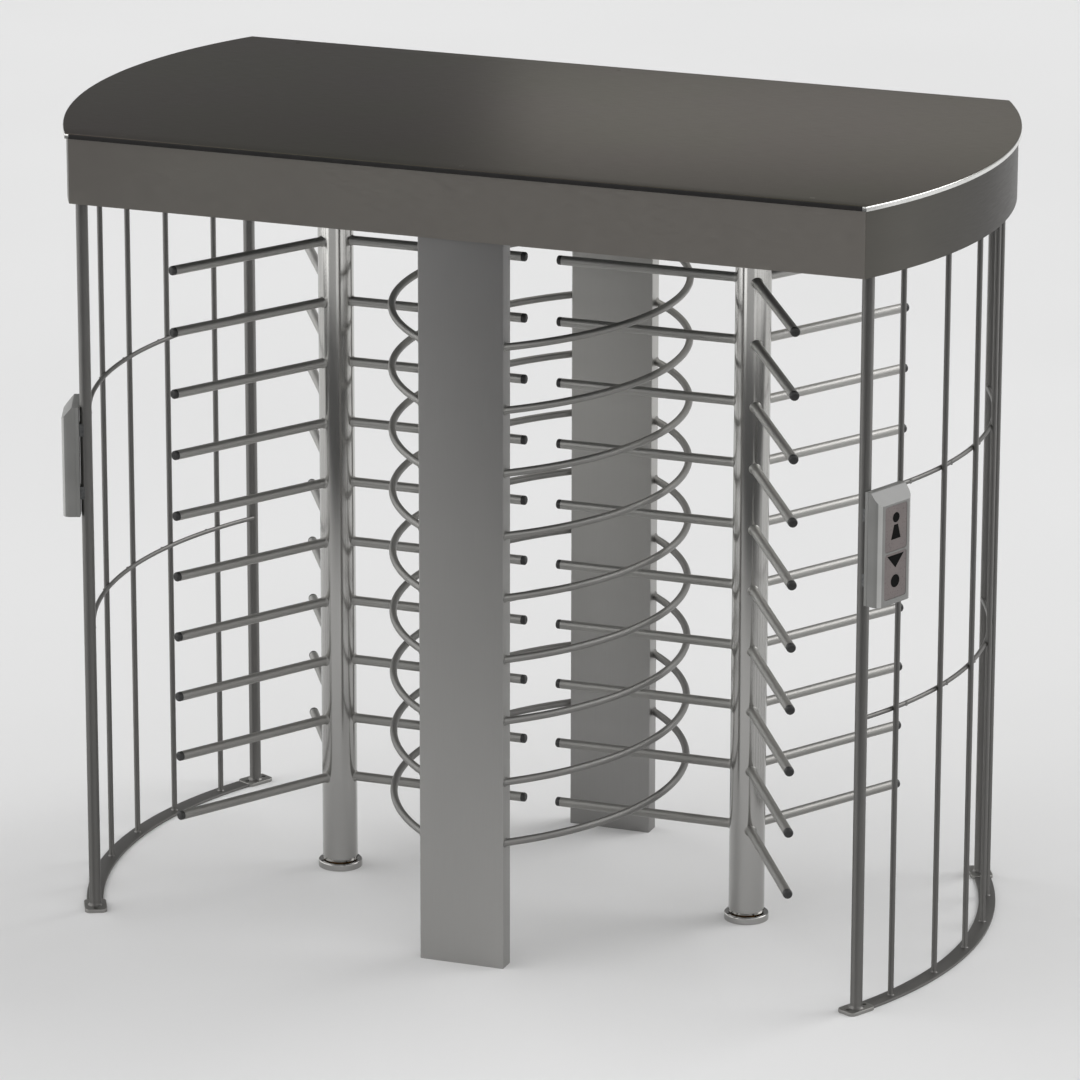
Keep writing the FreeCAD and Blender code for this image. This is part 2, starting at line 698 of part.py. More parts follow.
def divider_base_plate():
    """Floor plate inside the front divider, with two anchor holes."""
    half = DIVIDER_WIDTH / 2 - DIVIDER_SHEET
    outer_y = -(DIVIDER_INNER_Y + DIVIDER_DEPTH) + DIVIDER_SHEET
    inner_y = -DIVIDER_INNER_Y - DIVIDER_SHEET
    plate = block(-half, half, outer_y, inner_y, 0, DIVIDER_PLATE_THICKNESS)
    plate = round_upright_edges(plate, DIVIDER_EDGE_RADIUS - DIVIDER_SHEET)
    middle_y = (outer_y + inner_y) / 2
    for x in (-DIVIDER_HOLE_SPACING / 2, DIVIDER_HOLE_SPACING / 2):
        hole = rod(ANCHOR_HOLE_DIAMETER / 2, 0, DIVIDER_PLATE_THICKNESS, x, middle_y)
        plate = plate.cut(hole)
    return plate


def right_barrier_hoops():
    """Bent tubes from divider to divider that bulge towards the right rotor."""
    centre_x = BARRIER_REACH - BARRIER_RADIUS
    side_x = DIVIDER_WIDTH / 2
    end_angle = math.degrees(math.acos((side_x - centre_x) / BARRIER_RADIUS))
    spare = math.degrees(BARRIER_DIAMETER / BARRIER_RADIUS)
    start, end = -(end_angle + spare), end_angle + spare
    outer_radius = BARRIER_DIAMETER / 2
    hoops = []
    for index in range(BARRIER_COUNT):
        z = LOWEST_BARRIER_HEIGHT + index * ARM_PITCH
        outer = arc_rod(BARRIER_RADIUS, outer_radius, z, start, end)
        inner = arc_rod(BARRIER_RADIUS, outer_radius - BARRIER_WALL, z, start - spare, end + spare)
        hoop = moved(outer.cut(inner), centre_x)
        reach = DIVIDER_INNER_Y + 2 * DIVIDER_DEPTH
        trim = block(centre_x, side_x, -reach, reach, z - outer_radius, z + outer_radius)
        hoops.append(hoop.cut(trim))
    return hoops


def rotor_column():
    """Hollow rotor column, from the thrust washer into the canopy."""
    return pipe(COLUMN_RADIUS, COLUMN_BORE_RADIUS, WASHER_TOP, COLUMN_TOP)


def arm_heights():
    """Heights of the arm levels."""
    return [LOWEST_ARM_HEIGHT + index * ARM_PITCH for index in range(ARM_COUNT)]


def wing_angles():
    """Directions of the wings at rest."""
    return [index * 360.0 / WING_COUNT for index in range(WING_COUNT)]


def arm_tube(z):
    """One straight arm along +X, saddled against the column."""
    outer_radius = ARM_DIAMETER / 2
    start = Vector(0, 0, z)
    along = Vector(1, 0, 0)
    outer = lying_rod(outer_radius, start, along, ARM_TUBE_END)
    inner = lying_rod(outer_radius - ARM_WALL, start, along, ARM_TUBE_END)
    core = rod(COLUMN_RADIUS, z - ARM_DIAMETER, z + ARM_DIAMETER)
    return outer.cut(inner).cut(core)


def arm_cap(z):
    """Plug in an arm's end: a spigot in the tube and a rounded head outside."""
    along = Vector(1, 0, 0)
    head = lying_rod(ARM_DIAMETER / 2, Vector(ARM_TUBE_END, 0, z), along, CAP_LENGTH)
    rim = [edge for edge in head.Edges if edge.BoundBox.XMin > WING_RADIUS - 0.01]
    head = head.makeFillet(CAP_ROUNDING, rim)
    spigot_radius = ARM_DIAMETER / 2 - ARM_WALL - CAP_SPIGOT_CLEARANCE
    spigot_start = Vector(ARM_TUBE_END - CAP_SPIGOT_LENGTH, 0, z)
    return joined([head, lying_rod(spigot_radius, spigot_start, along, CAP_SPIGOT_LENGTH)])


def on_every_wing(make_piece):
    """Copies of a piece at every level of every wing."""
    copies = []
    for z in arm_heights():
        piece = make_piece(z)
        for angle in wing_angles():
            copies.append(turned(piece, angle))
    return copies


def floor_pivot():
    """Fixed floor flange with a spigot that the rotor turns on."""
    flange_radius = PIVOT_FLANGE_DIAMETER / 2
    flange = rod(flange_radius, 0, PIVOT_FLANGE_HEIGHT)
    flange = round_level_edges(flange, PIVOT_FLANGE_EDGE, PIVOT_FLANGE_HEIGHT)
    for index in range(PIVOT_HOLE_COUNT):
        place = polar(PIVOT_HOLE_CIRCLE / 2, 45 + index * 360.0 / PIVOT_HOLE_COUNT)
        hole = rod(PIVOT_HOLE_DIAMETER / 2, 0, PIVOT_FLANGE_HEIGHT, place.x, place.y)
        flange = flange.cut(hole)
    spigot = rod(SPIGOT_DIAMETER / 2, PIVOT_FLANGE_HEIGHT, PIVOT_FLANGE_HEIGHT + SPIGOT_HEIGHT)
    return joined([flange, spigot])


def thrust_washer():
    """Bronze washer between the floor pivot and the rotor's lower bush."""
    return pipe(WASHER_DIAMETER / 2, SPIGOT_DIAMETER / 2, PIVOT_FLANGE_HEIGHT, WASHER_TOP)


def lower_bush():
    """Bush pressed into the column's foot, running on the spigot."""
    bore = SPIGOT_DIAMETER / 2 + RUNNING_CLEARANCE
    return pipe(COLUMN_BORE_RADIUS, bore, WASHER_TOP, WASHER_TOP + LOWER_BUSH_HEIGHT)


def top_shaft():
    """Shaft with a plug that closes the top of the column."""
    plug = rod(COLUMN_BORE_RADIUS, COLUMN_TOP - SHAFT_PLUG_DEPTH, COLUMN_TOP)
    shaft = rod(SHAFT_DIAMETER / 2, COLUMN_TOP, SHAFT_TOP)
    return joined([plug, shaft])


def mechanism_plate():
    """Plate across the header beams that carries one rotor's mechanism."""
    plate = block(
        -PLATE_HALF_LENGTH, PLATE_HALF_LENGTH, -PLATE_FRONT, PLATE_BACK, BEAM_TOP, PLATE_TOP)
    plate = round_upright_edges(plate, PLATE_CORNER_RADIUS)
    return plate.cut(rod(HOUSING_BOSS_DIAMETER / 2, BEAM_TOP, PLATE_TOP))


def bearing_housing():
    """Flanged housing of the upper bearing, with four bolt holes."""
    flange_top = PLATE_TOP + HOUSING_FLANGE_HEIGHT
    flange = rod(HOUSING_FLANGE_DIAMETER / 2, PLATE_TOP, flange_top)
    boss = rod(HOUSING_BOSS_DIAMETER / 2, BEAM_TOP - HOUSING_BOSS_DEPTH, PLATE_TOP)
    housing = joined([flange, boss])
    bore = rod(HOUSING_BORE / 2, BEAM_TOP - HOUSING_BOSS_DEPTH, flange_top)
    housing = housing.cut(bore)
    for index in range(HOUSING_BOLT_COUNT):
        place = polar(HOUSING_BOLT_CIRCLE / 2, index * 360.0 / HOUSING_BOLT_COUNT)
        hole = rod(HOUSING_BOLT_DIAMETER / 2, PLATE_TOP, flange_top, place.x, place.y)
        housing = housing.cut(hole)
    return housing


def bearing_bush():
    """Bronze bush with a flange that carries the shaft sideways."""
    bore = SHAFT_DIAMETER / 2 + RUNNING_CLEARANCE
    flange_bottom = PLATE_TOP + HOUSING_FLANGE_HEIGHT
    sleeve = pipe(HOUSING_BORE / 2, bore, BEAM_TOP - HOUSING_BOSS_DEPTH, flange_bottom)
    flange = pipe(BUSH_FLANGE_DIAMETER / 2, bore, flange_bottom, BUSH_TOP)
    return joined([sleeve, flange])


def lock_wheel():
    """Notched wheel on the shaft, with a hub that spaces it between bush and gear."""
    radius = LOCK_WHEEL_DIAMETER / 2
    wheel = rod(radius, LOCK_WHEEL_BOTTOM, LOCK_WHEEL_TOP)
    wheel = joined([wheel, rod(HUB_DIAMETER / 2, BUSH_TOP, GEAR_BOTTOM)])
    notch = block(
        radius - NOTCH_DEPTH, radius + CUT_MARGIN, -NOTCH_WIDTH / 2, NOTCH_WIDTH / 2,
        LOCK_WHEEL_BOTTOM, LOCK_WHEEL_TOP)
    for index in range(NOTCH_COUNT):
        wheel = wheel.cut(turned(notch, -90 + index * 360.0 / NOTCH_COUNT))
    return wheel.cut(rod(SHAFT_DIAMETER / 2, BUSH_TOP, GEAR_BOTTOM))


def shaft_nut():
    """Round nut that clamps wheel and gear on the shaft."""
    return pipe(NUT_DIAMETER / 2, SHAFT_DIAMETER / 2, GEAR_TOP, GEAR_TOP + NUT_HEIGHT)


def involute_point(base_radius, radius, tooth_half_angle, side):
    """Point of a tooth flank at a radius; tooth_half_angle is the flank's angle at the base."""
    roll = math.sqrt(max((radius / base_radius) ** 2 - 1, 0))
    angle = tooth_half_angle - (roll - math.atan(roll))
    return Vector(radius * math.cos(side * angle), radius * math.sin(side * angle), 0)


def spur_gear(teeth, z_low, z_high, first_tooth_angle):
    """A spur gear with involute flanks, thinned a little so that it runs free."""
    pitch_radius = GEAR_MODULE * teeth / 2
    pressure = math.radians(PRESSURE_ANGLE)
    base_radius = pitch_radius * math.cos(pressure)
    tip_radius = pitch_radius + GEAR_MODULE
    root_radius = pitch_radius - ROOT_FACTOR * GEAR_MODULE
    flank_start = max(base_radius, root_radius)
    pitch_half_angle = math.pi / (2 * teeth) - FLANK_RELIEF / pitch_radius
    base_half_angle = pitch_half_angle + math.tan(pressure) - pressure
    flank_radii = [flank_start + (tip_radius - flank_start) * share for share in (0, 0.35, 0.7, 1)]
    points = []
    for index in range(teeth):
        tooth = []
        root_half_angle = base_half_angle
        for side, radii in ((-1, flank_radii), (1, list(reversed(flank_radii)))):
            root = Vector(root_radius * math.cos(root_half_angle),
                          side * root_radius * math.sin(root_half_angle), 0)
            flank = [involute_point(base_radius, radius, base_half_angle, side) for radius in radii]
            tooth += [root] + flank if side < 0 else flank + [root]
        turn = math.radians(first_tooth_angle + index * 360.0 / teeth)
        for point in tooth:
            points.append(Vector(
                point.x * math.cos(turn) - point.y * math.sin(turn),
                point.x * math.sin(turn) + point.y * math.cos(turn),
                z_low))
    points.append(points[0])
    return Part.Face(Part.makePolygon(points)).extrude(Vector(0, 0, z_high - z_low))


def drive_gear():
    """Gear on the rotor's shaft that turns the damper."""
    gear = spur_gear(GEAR_TEETH, GEAR_BOTTOM, GEAR_TOP, 90)
    holes = [rod(SHAFT_DIAMETER / 2, GEAR_BOTTOM, GEAR_TOP)]
    for index in range(LIGHTENING_COUNT):
        place = polar(LIGHTENING_RADIUS, index * 360.0 / LIGHTENING_COUNT)
        holes.append(rod(LIGHTENING_DIAMETER / 2, GEAR_BOTTOM, GEAR_TOP, place.x, place.y))
    return cut_all(gear, holes)


def damper_body():
    """Oil-filled rotary damper that slows the rotor."""
    top = PLATE_TOP + DAMPER_HEIGHT
    body = rod(DAMPER_DIAMETER / 2, PLATE_TOP, top, 0, GEAR_DISTANCE)
    body = round_level_edges(body, DAMPER_EDGE_RADIUS, top)
    bore_radius = DAMPER_SHAFT_DIAMETER / 2 + RUNNING_CLEARANCE
    return body.cut(rod(bore_radius, top - DAMPER_SHAFT_DEPTH, top, 0, GEAR_DISTANCE))


def damper_pinion():
    """Pinion and shaft of the damper, in mesh with the drive gear."""
    body_top = PLATE_TOP + DAMPER_HEIGHT
    half_pitch = 180.0 / PINION_TEETH
    teeth = spur_gear(PINION_TEETH, GEAR_BOTTOM, GEAR_TOP, -90 + half_pitch)
    hub = rod(PINION_HUB_DIAMETER / 2, body_top + SIDE_GAP, GEAR_BOTTOM)
    shaft = rod(DAMPER_SHAFT_DIAMETER / 2, body_top - DAMPER_SHAFT_DEPTH, GEAR_TOP)
    return moved(joined([teeth, hub, shaft]), 0, GEAR_DISTANCE)


def lever_pivot_pin():
    """Shoulder screw on the mechanism plate that the lock lever swings on."""
    x, y = LEVER_PIVOT_X, LEVER_PIVOT_Y
    foot = rod(LEVER_FOOT_DIAMETER / 2, PLATE_TOP, LEVER_BOTTOM, x, y)
    head_bottom = LEVER_TOP + SIDE_GAP
    shank = rod(LEVER_PIN_DIAMETER / 2, LEVER_BOTTOM, head_bottom, x, y)
    head = rod(LEVER_HEAD_DIAMETER / 2, head_bottom, head_bottom + LEVER_HEAD_HEIGHT, x, y)
    return joined([foot, shank, head])


def lock_lever():
    """Bell crank: a tooth for the lock wheel on one arm, the plunger's slot on the other."""
    x, y = LEVER_PIVOT_X, LEVER_PIVOT_Y
    half = LEVER_WIDTH / 2
    hub = rod(LEVER_HUB_DIAMETER / 2, LEVER_BOTTOM, LEVER_TOP, x, y)
    tooth_low = -TOOTH_WIDTH / 2 - TOOTH_LEAD
    tooth_high = TOOTH_WIDTH / 2 - TOOTH_LEAD
    arm = block(tooth_low, x, y - half, y + half, LEVER_BOTTOM, LEVER_TOP)
    tooth = block(tooth_low, tooth_high, y + half, -TOOTH_TIP_RADIUS, LEVER_BOTTOM, LEVER_TOP)
    tail_end = TAIL_PIN_Y - TAIL_END_MARGIN
    tail = block(x - half, x + half, tail_end, y, LEVER_BOTTOM, LEVER_TOP)
    lever = joined([hub, arm, tooth, tail])
    bore = rod(LEVER_PIN_DIAMETER / 2 + RUNNING_CLEARANCE, LEVER_BOTTOM, LEVER_TOP, x, y)
    slot_half = TAIL_SLOT_WIDTH / 2
    slot_straight = (TAIL_SLOT_LENGTH - TAIL_SLOT_WIDTH) / 2
    slot_box = block(
        x - slot_half, x + slot_half, TAIL_PIN_Y - slot_straight, TAIL_PIN_Y + slot_straight,
        LEVER_BOTTOM, LEVER_TOP)
    slot_ends = [
        rod(slot_half, LEVER_BOTTOM, LEVER_TOP, x, TAIL_PIN_Y + shift)
        for shift in (-slot_straight, slot_straight)
    ]
    return cut_all(lever, [bore, slot_box] + slot_ends)


def coil_profile(coil_radius, lowest):
    """Half section of a close-wound coil, with a groove between each two turns on both sides."""
    wire_radius = SPRING_WIRE / 2
    crown = SPRING_PITCH / 2 - SPRING_GROOVE
    sides = []
    for side in (1, -1):
        outline = []
        for index in range(SPRING_TURNS):
            z = lowest + index * SPRING_PITCH
            root = coil_radius + side * (wire_radius - SPRING_GROOVE)
            crest = coil_radius + side * wire_radius
            outline.append(Vector(root, 0, z - SPRING_PITCH / 2))
            outline.append(Vector(crest, 0, z - crown))
            outline.append(Vector(crest, 0, z + crown))
        outline.append(Vector(root, 0, z + SPRING_PITCH / 2))
        sides.append(outline)
    outer, inner = sides
    corners = outer + list(reversed(inner))
    return Part.Face(Part.makePolygon(corners + [corners[0]]))


def lever_spring():
    """Close-wound torsion spring round the pivot pin's foot, with its two straight legs."""
    wire_radius = SPRING_WIRE / 2
    coil_radius = LEVER_FOOT_DIAMETER / 2 + SIDE_GAP + wire_radius
    lowest = wire_radius
    highest = lowest + (SPRING_TURNS - 1) * SPRING_PITCH
    coil = coil_profile(coil_radius, lowest).revolve(ORIGIN, UP, 360)
    along = Vector(1, 0, 0)
    low_leg = lying_rod(wire_radius, Vector(0, -coil_radius, lowest), along, SPRING_LEG)
    high_leg = lying_rod(wire_radius, Vector(0, coil_radius, highest), along, SPRING_LEG)
    spring = coil.fuse(low_leg).fuse(high_leg)
    return moved(spring, LEVER_PIVOT_X, LEVER_PIVOT_Y, PLATE_TOP)


def solenoid_face_x():
    """X of the solenoid's face that the plunger comes out of."""
    return LEVER_PIVOT_X - SOLENOID_GAP


def lock_solenoid():
    """Solenoid that pulls the lever's tail; its bore guides the plunger."""
    face = solenoid_face_x()
    half = SOLENOID_WIDTH / 2
    height = 2 * (LEVER_MIDDLE - PLATE_TOP)
    body = block(
        face - SOLENOID_LENGTH, face, TAIL_PIN_Y - half, TAIL_PIN_Y + half,
        PLATE_TOP, PLATE_TOP + height)
    body = round_upright_edges(body, SOLENOID_EDGE_RADIUS)
    depth = PLUNGER_DEPTH + BORE_END_GAP
    bore_start = Vector(face - depth, TAIL_PIN_Y, LEVER_MIDDLE)
    bore_radius = PLUNGER_DIAMETER / 2 + RUNNING_CLEARANCE
    return body.cut(lying_rod(bore_radius, bore_start, Vector(1, 0, 0), depth))


def solenoid_plunger():
    """Plunger with a forked end and a cross pin in the lever's slot."""
    face = solenoid_face_x()
    x = LEVER_PIVOT_X
    slot_start = x - CLEVIS_HALF_LENGTH
    clevis_start = slot_start - CLEVIS_WEB
    low = LEVER_MIDDLE - CLEVIS_HEIGHT / 2
    high = LEVER_MIDDLE + CLEVIS_HEIGHT / 2
    half = CLEVIS_WIDTH / 2
    clevis = block(clevis_start, x + CLEVIS_HALF_LENGTH, TAIL_PIN_Y - half, TAIL_PIN_Y + half, low, high)
    slot = block(
        slot_start, x + CLEVIS_HALF_LENGTH, TAIL_PIN_Y - half, TAIL_PIN_Y + half,
        LEVER_BOTTOM - SIDE_GAP, LEVER_TOP + SIDE_GAP)
    start = Vector(face - PLUNGER_DEPTH, TAIL_PIN_Y, LEVER_MIDDLE)
    shank = lying_rod(PLUNGER_DIAMETER / 2, start, Vector(1, 0, 0), clevis_start - start.x)
    pin = rod(CLEVIS_PIN_DIAMETER / 2, low, high, x, TAIL_PIN_Y)
    return joined([clevis.cut(slot), shank, pin])


def electronics_tray():
    """Sheet across the two centre beams."""
    return block(
        -TRAY_HALF_WIDTH, TRAY_HALF_WIDTH, -TRAY_HALF_DEPTH, TRAY_HALF_DEPTH,
        BEAM_TOP, BEAM_TOP + TRAY_SHEET)


def standing_box(size, x, y, bottom):
    """A block of the given size that stands on a level, centred at x and y."""
    width, depth, height = size
    return block(x - width / 2, x + width / 2, y - depth / 2, y + depth / 2, bottom, bottom + height)


def box_on_tray(size, y):
    """A block of the given size standing on the tray."""
    return standing_box(size, 0, y, BEAM_TOP + TRAY_SHEET)


def control_board():
    """Circuit board on four standoffs, with relays, a processor and a connector."""
    width, depth, thickness = BOARD_SIZE
    tray_top = BEAM_TOP + TRAY_SHEET
    board_bottom = tray_top + BOARD_STANDOFF_HEIGHT
    board_top = board_bottom + thickness
    pieces = [standing_box(BOARD_SIZE, 0, BOARD_Y, board_bottom)]
    half_x = width / 2 - BOARD_HOLE_INSET
    half_y = depth / 2 - BOARD_HOLE_INSET
    for x in (-half_x, half_x):
        for y in (BOARD_Y - half_y, BOARD_Y + half_y):
            pieces.append(rod(BOARD_STANDOFF_DIAMETER / 2, tray_top, board_bottom, x, y))
    for index in range(RELAY_COUNT):
        x = (index - (RELAY_COUNT - 1) / 2) * RELAY_PITCH
        pieces.append(standing_box(RELAY_SIZE, x, BOARD_Y + RELAY_SHIFT, board_top))
    pieces.append(standing_box(PROCESSOR_SIZE, 0, BOARD_Y + PROCESSOR_SHIFT, board_top))
    pieces.append(standing_box(CONNECTOR_SIZE, 0, BOARD_Y + CONNECTOR_SHIFT, board_top))
    return pieces


def reader_frames():
    """Post angle and hand of each reader; the hand says which way its cage lies."""
    return ((180 + POST_ANGLE, -1), (-POST_ANGLE, 1))


def in_reader_frame(shape, post_angle, hand):
    """Place a piece from its post's own frame on the post, turned a little to face forward less."""
    facing = turned(shape, hand * READER_TURN)
    return turned(moved(facing, CAGE_RADIUS), post_angle)


def reader_back():
    """Distance of a reader's back from its post's axis."""
    return POST_DIAMETER / 2 + READER_POST_GAP


def reader_middle(hand):
    """Where the middle of a reader lies along its cage."""
    return hand * READER_SHIFT


def reader_block(inset, hand):
    """The reader's outer form with its sloped top, or its cavity when an inset is given."""
    low = reader_middle(hand) - READER_WIDTH / 2 + inset
    bottom = READER_BOTTOM + inset
    top = READER_BOTTOM + READER_HEIGHT - inset
    back = reader_back() + inset
    front = reader_back() + READER_DEPTH - inset
    profile = [
        (back, bottom),
        (front, bottom),
        (front, top - READER_SLOPE_HEIGHT),
        (front - READER_SLOPE_DEPTH, top),
        (back, top),
        (back, bottom),
    ]
    face = Part.Face(Part.makePolygon([Vector(x, low, z) for x, z in profile]))
    solid = face.extrude(Vector(0, READER_WIDTH - 2 * inset, 0))
    radius = READER_EDGE_RADIUS - inset
    return round_upright_edges(solid, radius, lambda point: abs(point.x - front) < 0.5)


def window_bottoms():
    """Lower edges of the two windows."""
    lower = READER_BOTTOM + WINDOW_LOW
    return [lower, lower + WINDOW_HEIGHT + WINDOW_GAP]


def window_blocks(hand):
    """The two window panes of a reader, flush with its front."""
    front = reader_back() + READER_DEPTH
    middle = reader_middle(hand)
    panes = []
    for bottom in window_bottoms():
        pane = block(
            front - WINDOW_THICKNESS, front, middle - WINDOW_WIDTH / 2,
            middle + WINDOW_WIDTH / 2, bottom, bottom + WINDOW_HEIGHT)
        edges = [edge for edge in pane.Edges if edge.BoundBox.XLength > WINDOW_THICKNESS / 2]
        panes.append(pane.makeFillet(WINDOW_CORNER_RADIUS, edges))
    return panes


def flat_mark(back, points):
    """A thin plate on the reader's front, from its corners across and up."""
    corners = [Vector(back, y, z) for y, z in points]
    corners.append(corners[0])
    return Part.Face(Part.makePolygon(corners)).extrude(Vector(MARK_DEPTH, 0, 0))


def mark_solids(hand):
    """Plain marks in the windows: a standing figure above, an arrow over a dot below."""
    back = reader_back() + READER_DEPTH - MARK_DEPTH
    middle = reader_middle(hand)
    outward = Vector(1, 0, 0)
    half = WINDOW_HEIGHT / 2 + MARK_RAISE
    lower, upper = [bottom + half for bottom in window_bottoms()]
    body_top = upper - MARK_GAP / 2
    body_half = MARK_BODY_WIDTH / 2
    shoulder_half = MARK_BODY_TOP_WIDTH / 2
    head_centre = Vector(back, middle, body_top + MARK_GAP + MARK_HEAD_RADIUS)
    figure = [
        (middle - body_half, body_top - MARK_BODY_HEIGHT),
        (middle + body_half, body_top - MARK_BODY_HEIGHT),
        (middle + shoulder_half, body_top),
        (middle - shoulder_half, body_top),
    ]
    arrow_top = lower + MARK_SPACING / 2
    arrow = [
        (middle - MARK_ARROW_WIDTH / 2, arrow_top),
        (middle, arrow_top - MARK_ARROW_HEIGHT),
        (middle + MARK_ARROW_WIDTH / 2, arrow_top),
    ]
    dot_centre = Vector(back, middle, lower - MARK_SPACING / 2 + MARK_DOT_RADIUS)
    return [
        lying_rod(MARK_HEAD_RADIUS, head_centre, outward, MARK_DEPTH),
        flat_mark(back, figure),
        flat_mark(back, arrow),
        lying_rod(MARK_DOT_RADIUS, dot_centre, outward, MARK_DEPTH),
    ]


def board_bosses(hand):
    """Bosses on the housing's back wall that carry the reader's board."""
    middle = reader_middle(hand)
    _, width, height = READER_BOARD_SIZE
    middle_z = READER_BOTTOM + READER_HEIGHT / 2
    half_y = width / 2 - READER_BOSS_INSET
    half_z = height / 2 - READER_BOSS_INSET
    bosses = []
    for y in (middle - half_y, middle + half_y):
        for z in (middle_z - half_z, middle_z + half_z):
            start = Vector(reader_back() + READER_WALL, y, z)
            bosses.append(lying_rod(
                READER_BOSS_DIAMETER / 2, start, Vector(1, 0, 0), READER_BOSS_LENGTH))
    return bosses


def reader_housing(hand):
    """Hollow housing with two window recesses and four board bosses."""
    shell = reader_block(0.0, hand).cut(reader_block(READER_WALL, hand))
    return joined([cut_all(shell, window_blocks(hand))] + board_bosses(hand))


def reader_window(hand):
    """The two panes with shallow seats for the marks."""
    marks = mark_solids(hand)
    return [cut_all(pane, marks) for pane in window_blocks(hand)]


def reader_board(hand):
    """Circuit board of a reader, standing on the bosses."""
    middle = reader_middle(hand)
    thickness, width, height = READER_BOARD_SIZE
    back = reader_back() + READER_WALL + READER_BOSS_LENGTH
    bottom = READER_BOTTOM + (READER_HEIGHT - height) / 2
    return block(
        back, back + thickness, middle - width / 2, middle + width / 2, bottom, bottom + height)


def reader_saddles(hand):
    """Two saddle blocks between a reader's back and its post."""
    saddles = []
    top = READER_BOTTOM + READER_HEIGHT
    for bottom in (READER_BOTTOM + SADDLE_INSET, top - SADDLE_INSET - SADDLE_HEIGHT):
        saddle = block(
            0, reader_back(), -SADDLE_WIDTH / 2, SADDLE_WIDTH / 2, bottom, bottom + SADDLE_HEIGHT)
        saddles.append(saddle.cut(rod(POST_DIAMETER / 2, bottom, bottom + SADDLE_HEIGHT)))
    return saddles


def for_both_readers(make_pieces):
    """Pieces of both readers, each set placed on its post."""
    placed = []
    for post_angle, hand in reader_frames():
        pieces = make_pieces(hand)
        if not isinstance(pieces, list):
            pieces = [pieces]
        placed += [in_reader_frame(piece, post_angle, hand) for piece in pieces]
    return placed


def both_halves(shapes):
    """Pieces of the left half and their copies on the right half."""
    return list(shapes) + [other_half(shape) for shape in shapes]


def save(name, shapes):
    """Write one node's solids to its STEP file."""
    if not isinstance(shapes, list):
        shapes = [shapes]
    solids = []
    for shape in shapes:
        solids += shape.Solids
    for solid in solids:
        if not solid.isValid():
            raise ValueError("invalid solid in " + name)
    result = solids[0] if len(solids) == 1 else Part.makeCompound(solids)
    result.exportStep("parts/" + name + ".step")
    print(name, len(solids), round(sum(solid.Volume for solid in solids) / 1000.0, 1), "cm3")


def save_frame():
    """Cage, dividers and barrier hoops."""
    front_divider = divider_column()
    save("front_divider_column", front_divider)
    save("rear_divider_column", other_half(front_divider))
    save("divider_base_plates", both_halves([divider_base_plate()]))
    right_hoops = right_barrier_hoops()
    save("right_barrier_hoops", right_hoops)
    save("left_barrier_hoops", [other_half(hoop) for hoop in right_hoops])
    save("cage_corner_posts", both_halves(left_corner_posts()))
    save("cage_vertical_bars", both_halves(left_cage_bars()))
    save("cage_hoops", both_halves(left_cage_hoops()))
    save("cage_base_rails", both_halves([left_base_rail()]))
    save("post_foot_plates", both_halves(left_foot_plates()))


def save_canopy():
    """Canopy sheets, header frame and their fastenings."""
    fascias = canopy_fascias()
    save("canopy_lid", canopy_lid())
    save("canopy_front_fascia", fascias["front"])
    save("canopy_rear_cover", rear_cover(fascias["rear"]))
    save("canopy_end_fascias", [fascias["left"], fascias["right"]])
    save("canopy_soffit", canopy_soffit())
    save("header_frame", header_frame())
    save("lid_standoffs", lid_standoffs())
    save("lid_screws", lid_screw_solids())
    save("rear_cover_screws", cover_screw_solids())
    save("cable_gland", cable_gland())


def save_mechanism():
    """Fixed pieces of both mechanisms and the electronics."""
    save("mechanism_plates", both_rotors([mechanism_plate()]))
    save("upper_bearing_housings", both_rotors([bearing_housing()]))
    save("upper_bearing_bushes", both_rotors([bearing_bush()]))
    save("floor_pivots", both_rotors([floor_pivot()]))
    save("thrust_washers", both_rotors([thrust_washer()]))
    save("lock_solenoids", both_rotors([lock_solenoid()]))
    save("lever_pivot_pins", both_rotors([lever_pivot_pin()]))
    save("lever_springs", both_rotors([lever_spring()]))
    save("damper_bodies", both_rotors([damper_body()]))
    save("electronics_tray", electronics_tray())
    save("power_supply", box_on_tray(SUPPLY_SIZE, SUPPLY_Y))
    save("control_board", control_board())
    save("terminal_block", box_on_tray(TERMINAL_SIZE, TERMINAL_Y))


def save_readers():
    """Card readers on the front corner posts."""
    save("reader_housings", for_both_readers(reader_housing))
    save("reader_windows", for_both_readers(reader_window))
    save("reader_marks", for_both_readers(mark_solids))
    save("reader_boards", for_both_readers(reader_board))
    save("reader_saddles", for_both_readers(reader_saddles))


def save_moving_pieces():
    """Everything that turns or slides, once for each rotor."""
    pieces = {
        "rotor_column": [rotor_column()],
        "rotor_arms": on_every_wing(arm_tube),
        "arm_end_caps": on_every_wing(arm_cap),
        "top_shaft": [top_shaft()],
        "lower_bush": [lower_bush()],
        "lock_wheel": [lock_wheel()],
        "drive_gear": [drive_gear()],
        "shaft_nut": [shaft_nut()],
        "damper_pinion": [damper_pinion()],
        "lock_lever": [lock_lever()],
        "solenoid_plunger": [solenoid_plunger()],
    }
    for name, shapes in pieces.items():
        left = [to_left_rotor(shape) for shape in shapes]
        save("left_" + name, left)
        save("right_" + name, [other_half(shape) for shape in left])


def main():
    os.makedirs("parts", exist_ok=True)
    save_frame()
    save_canopy()
    save_mechanism()
    save_readers()
    save_moving_pieces()


main()
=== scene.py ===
import math

import bmesh
import bpy
from mathutils import Matrix, Vector


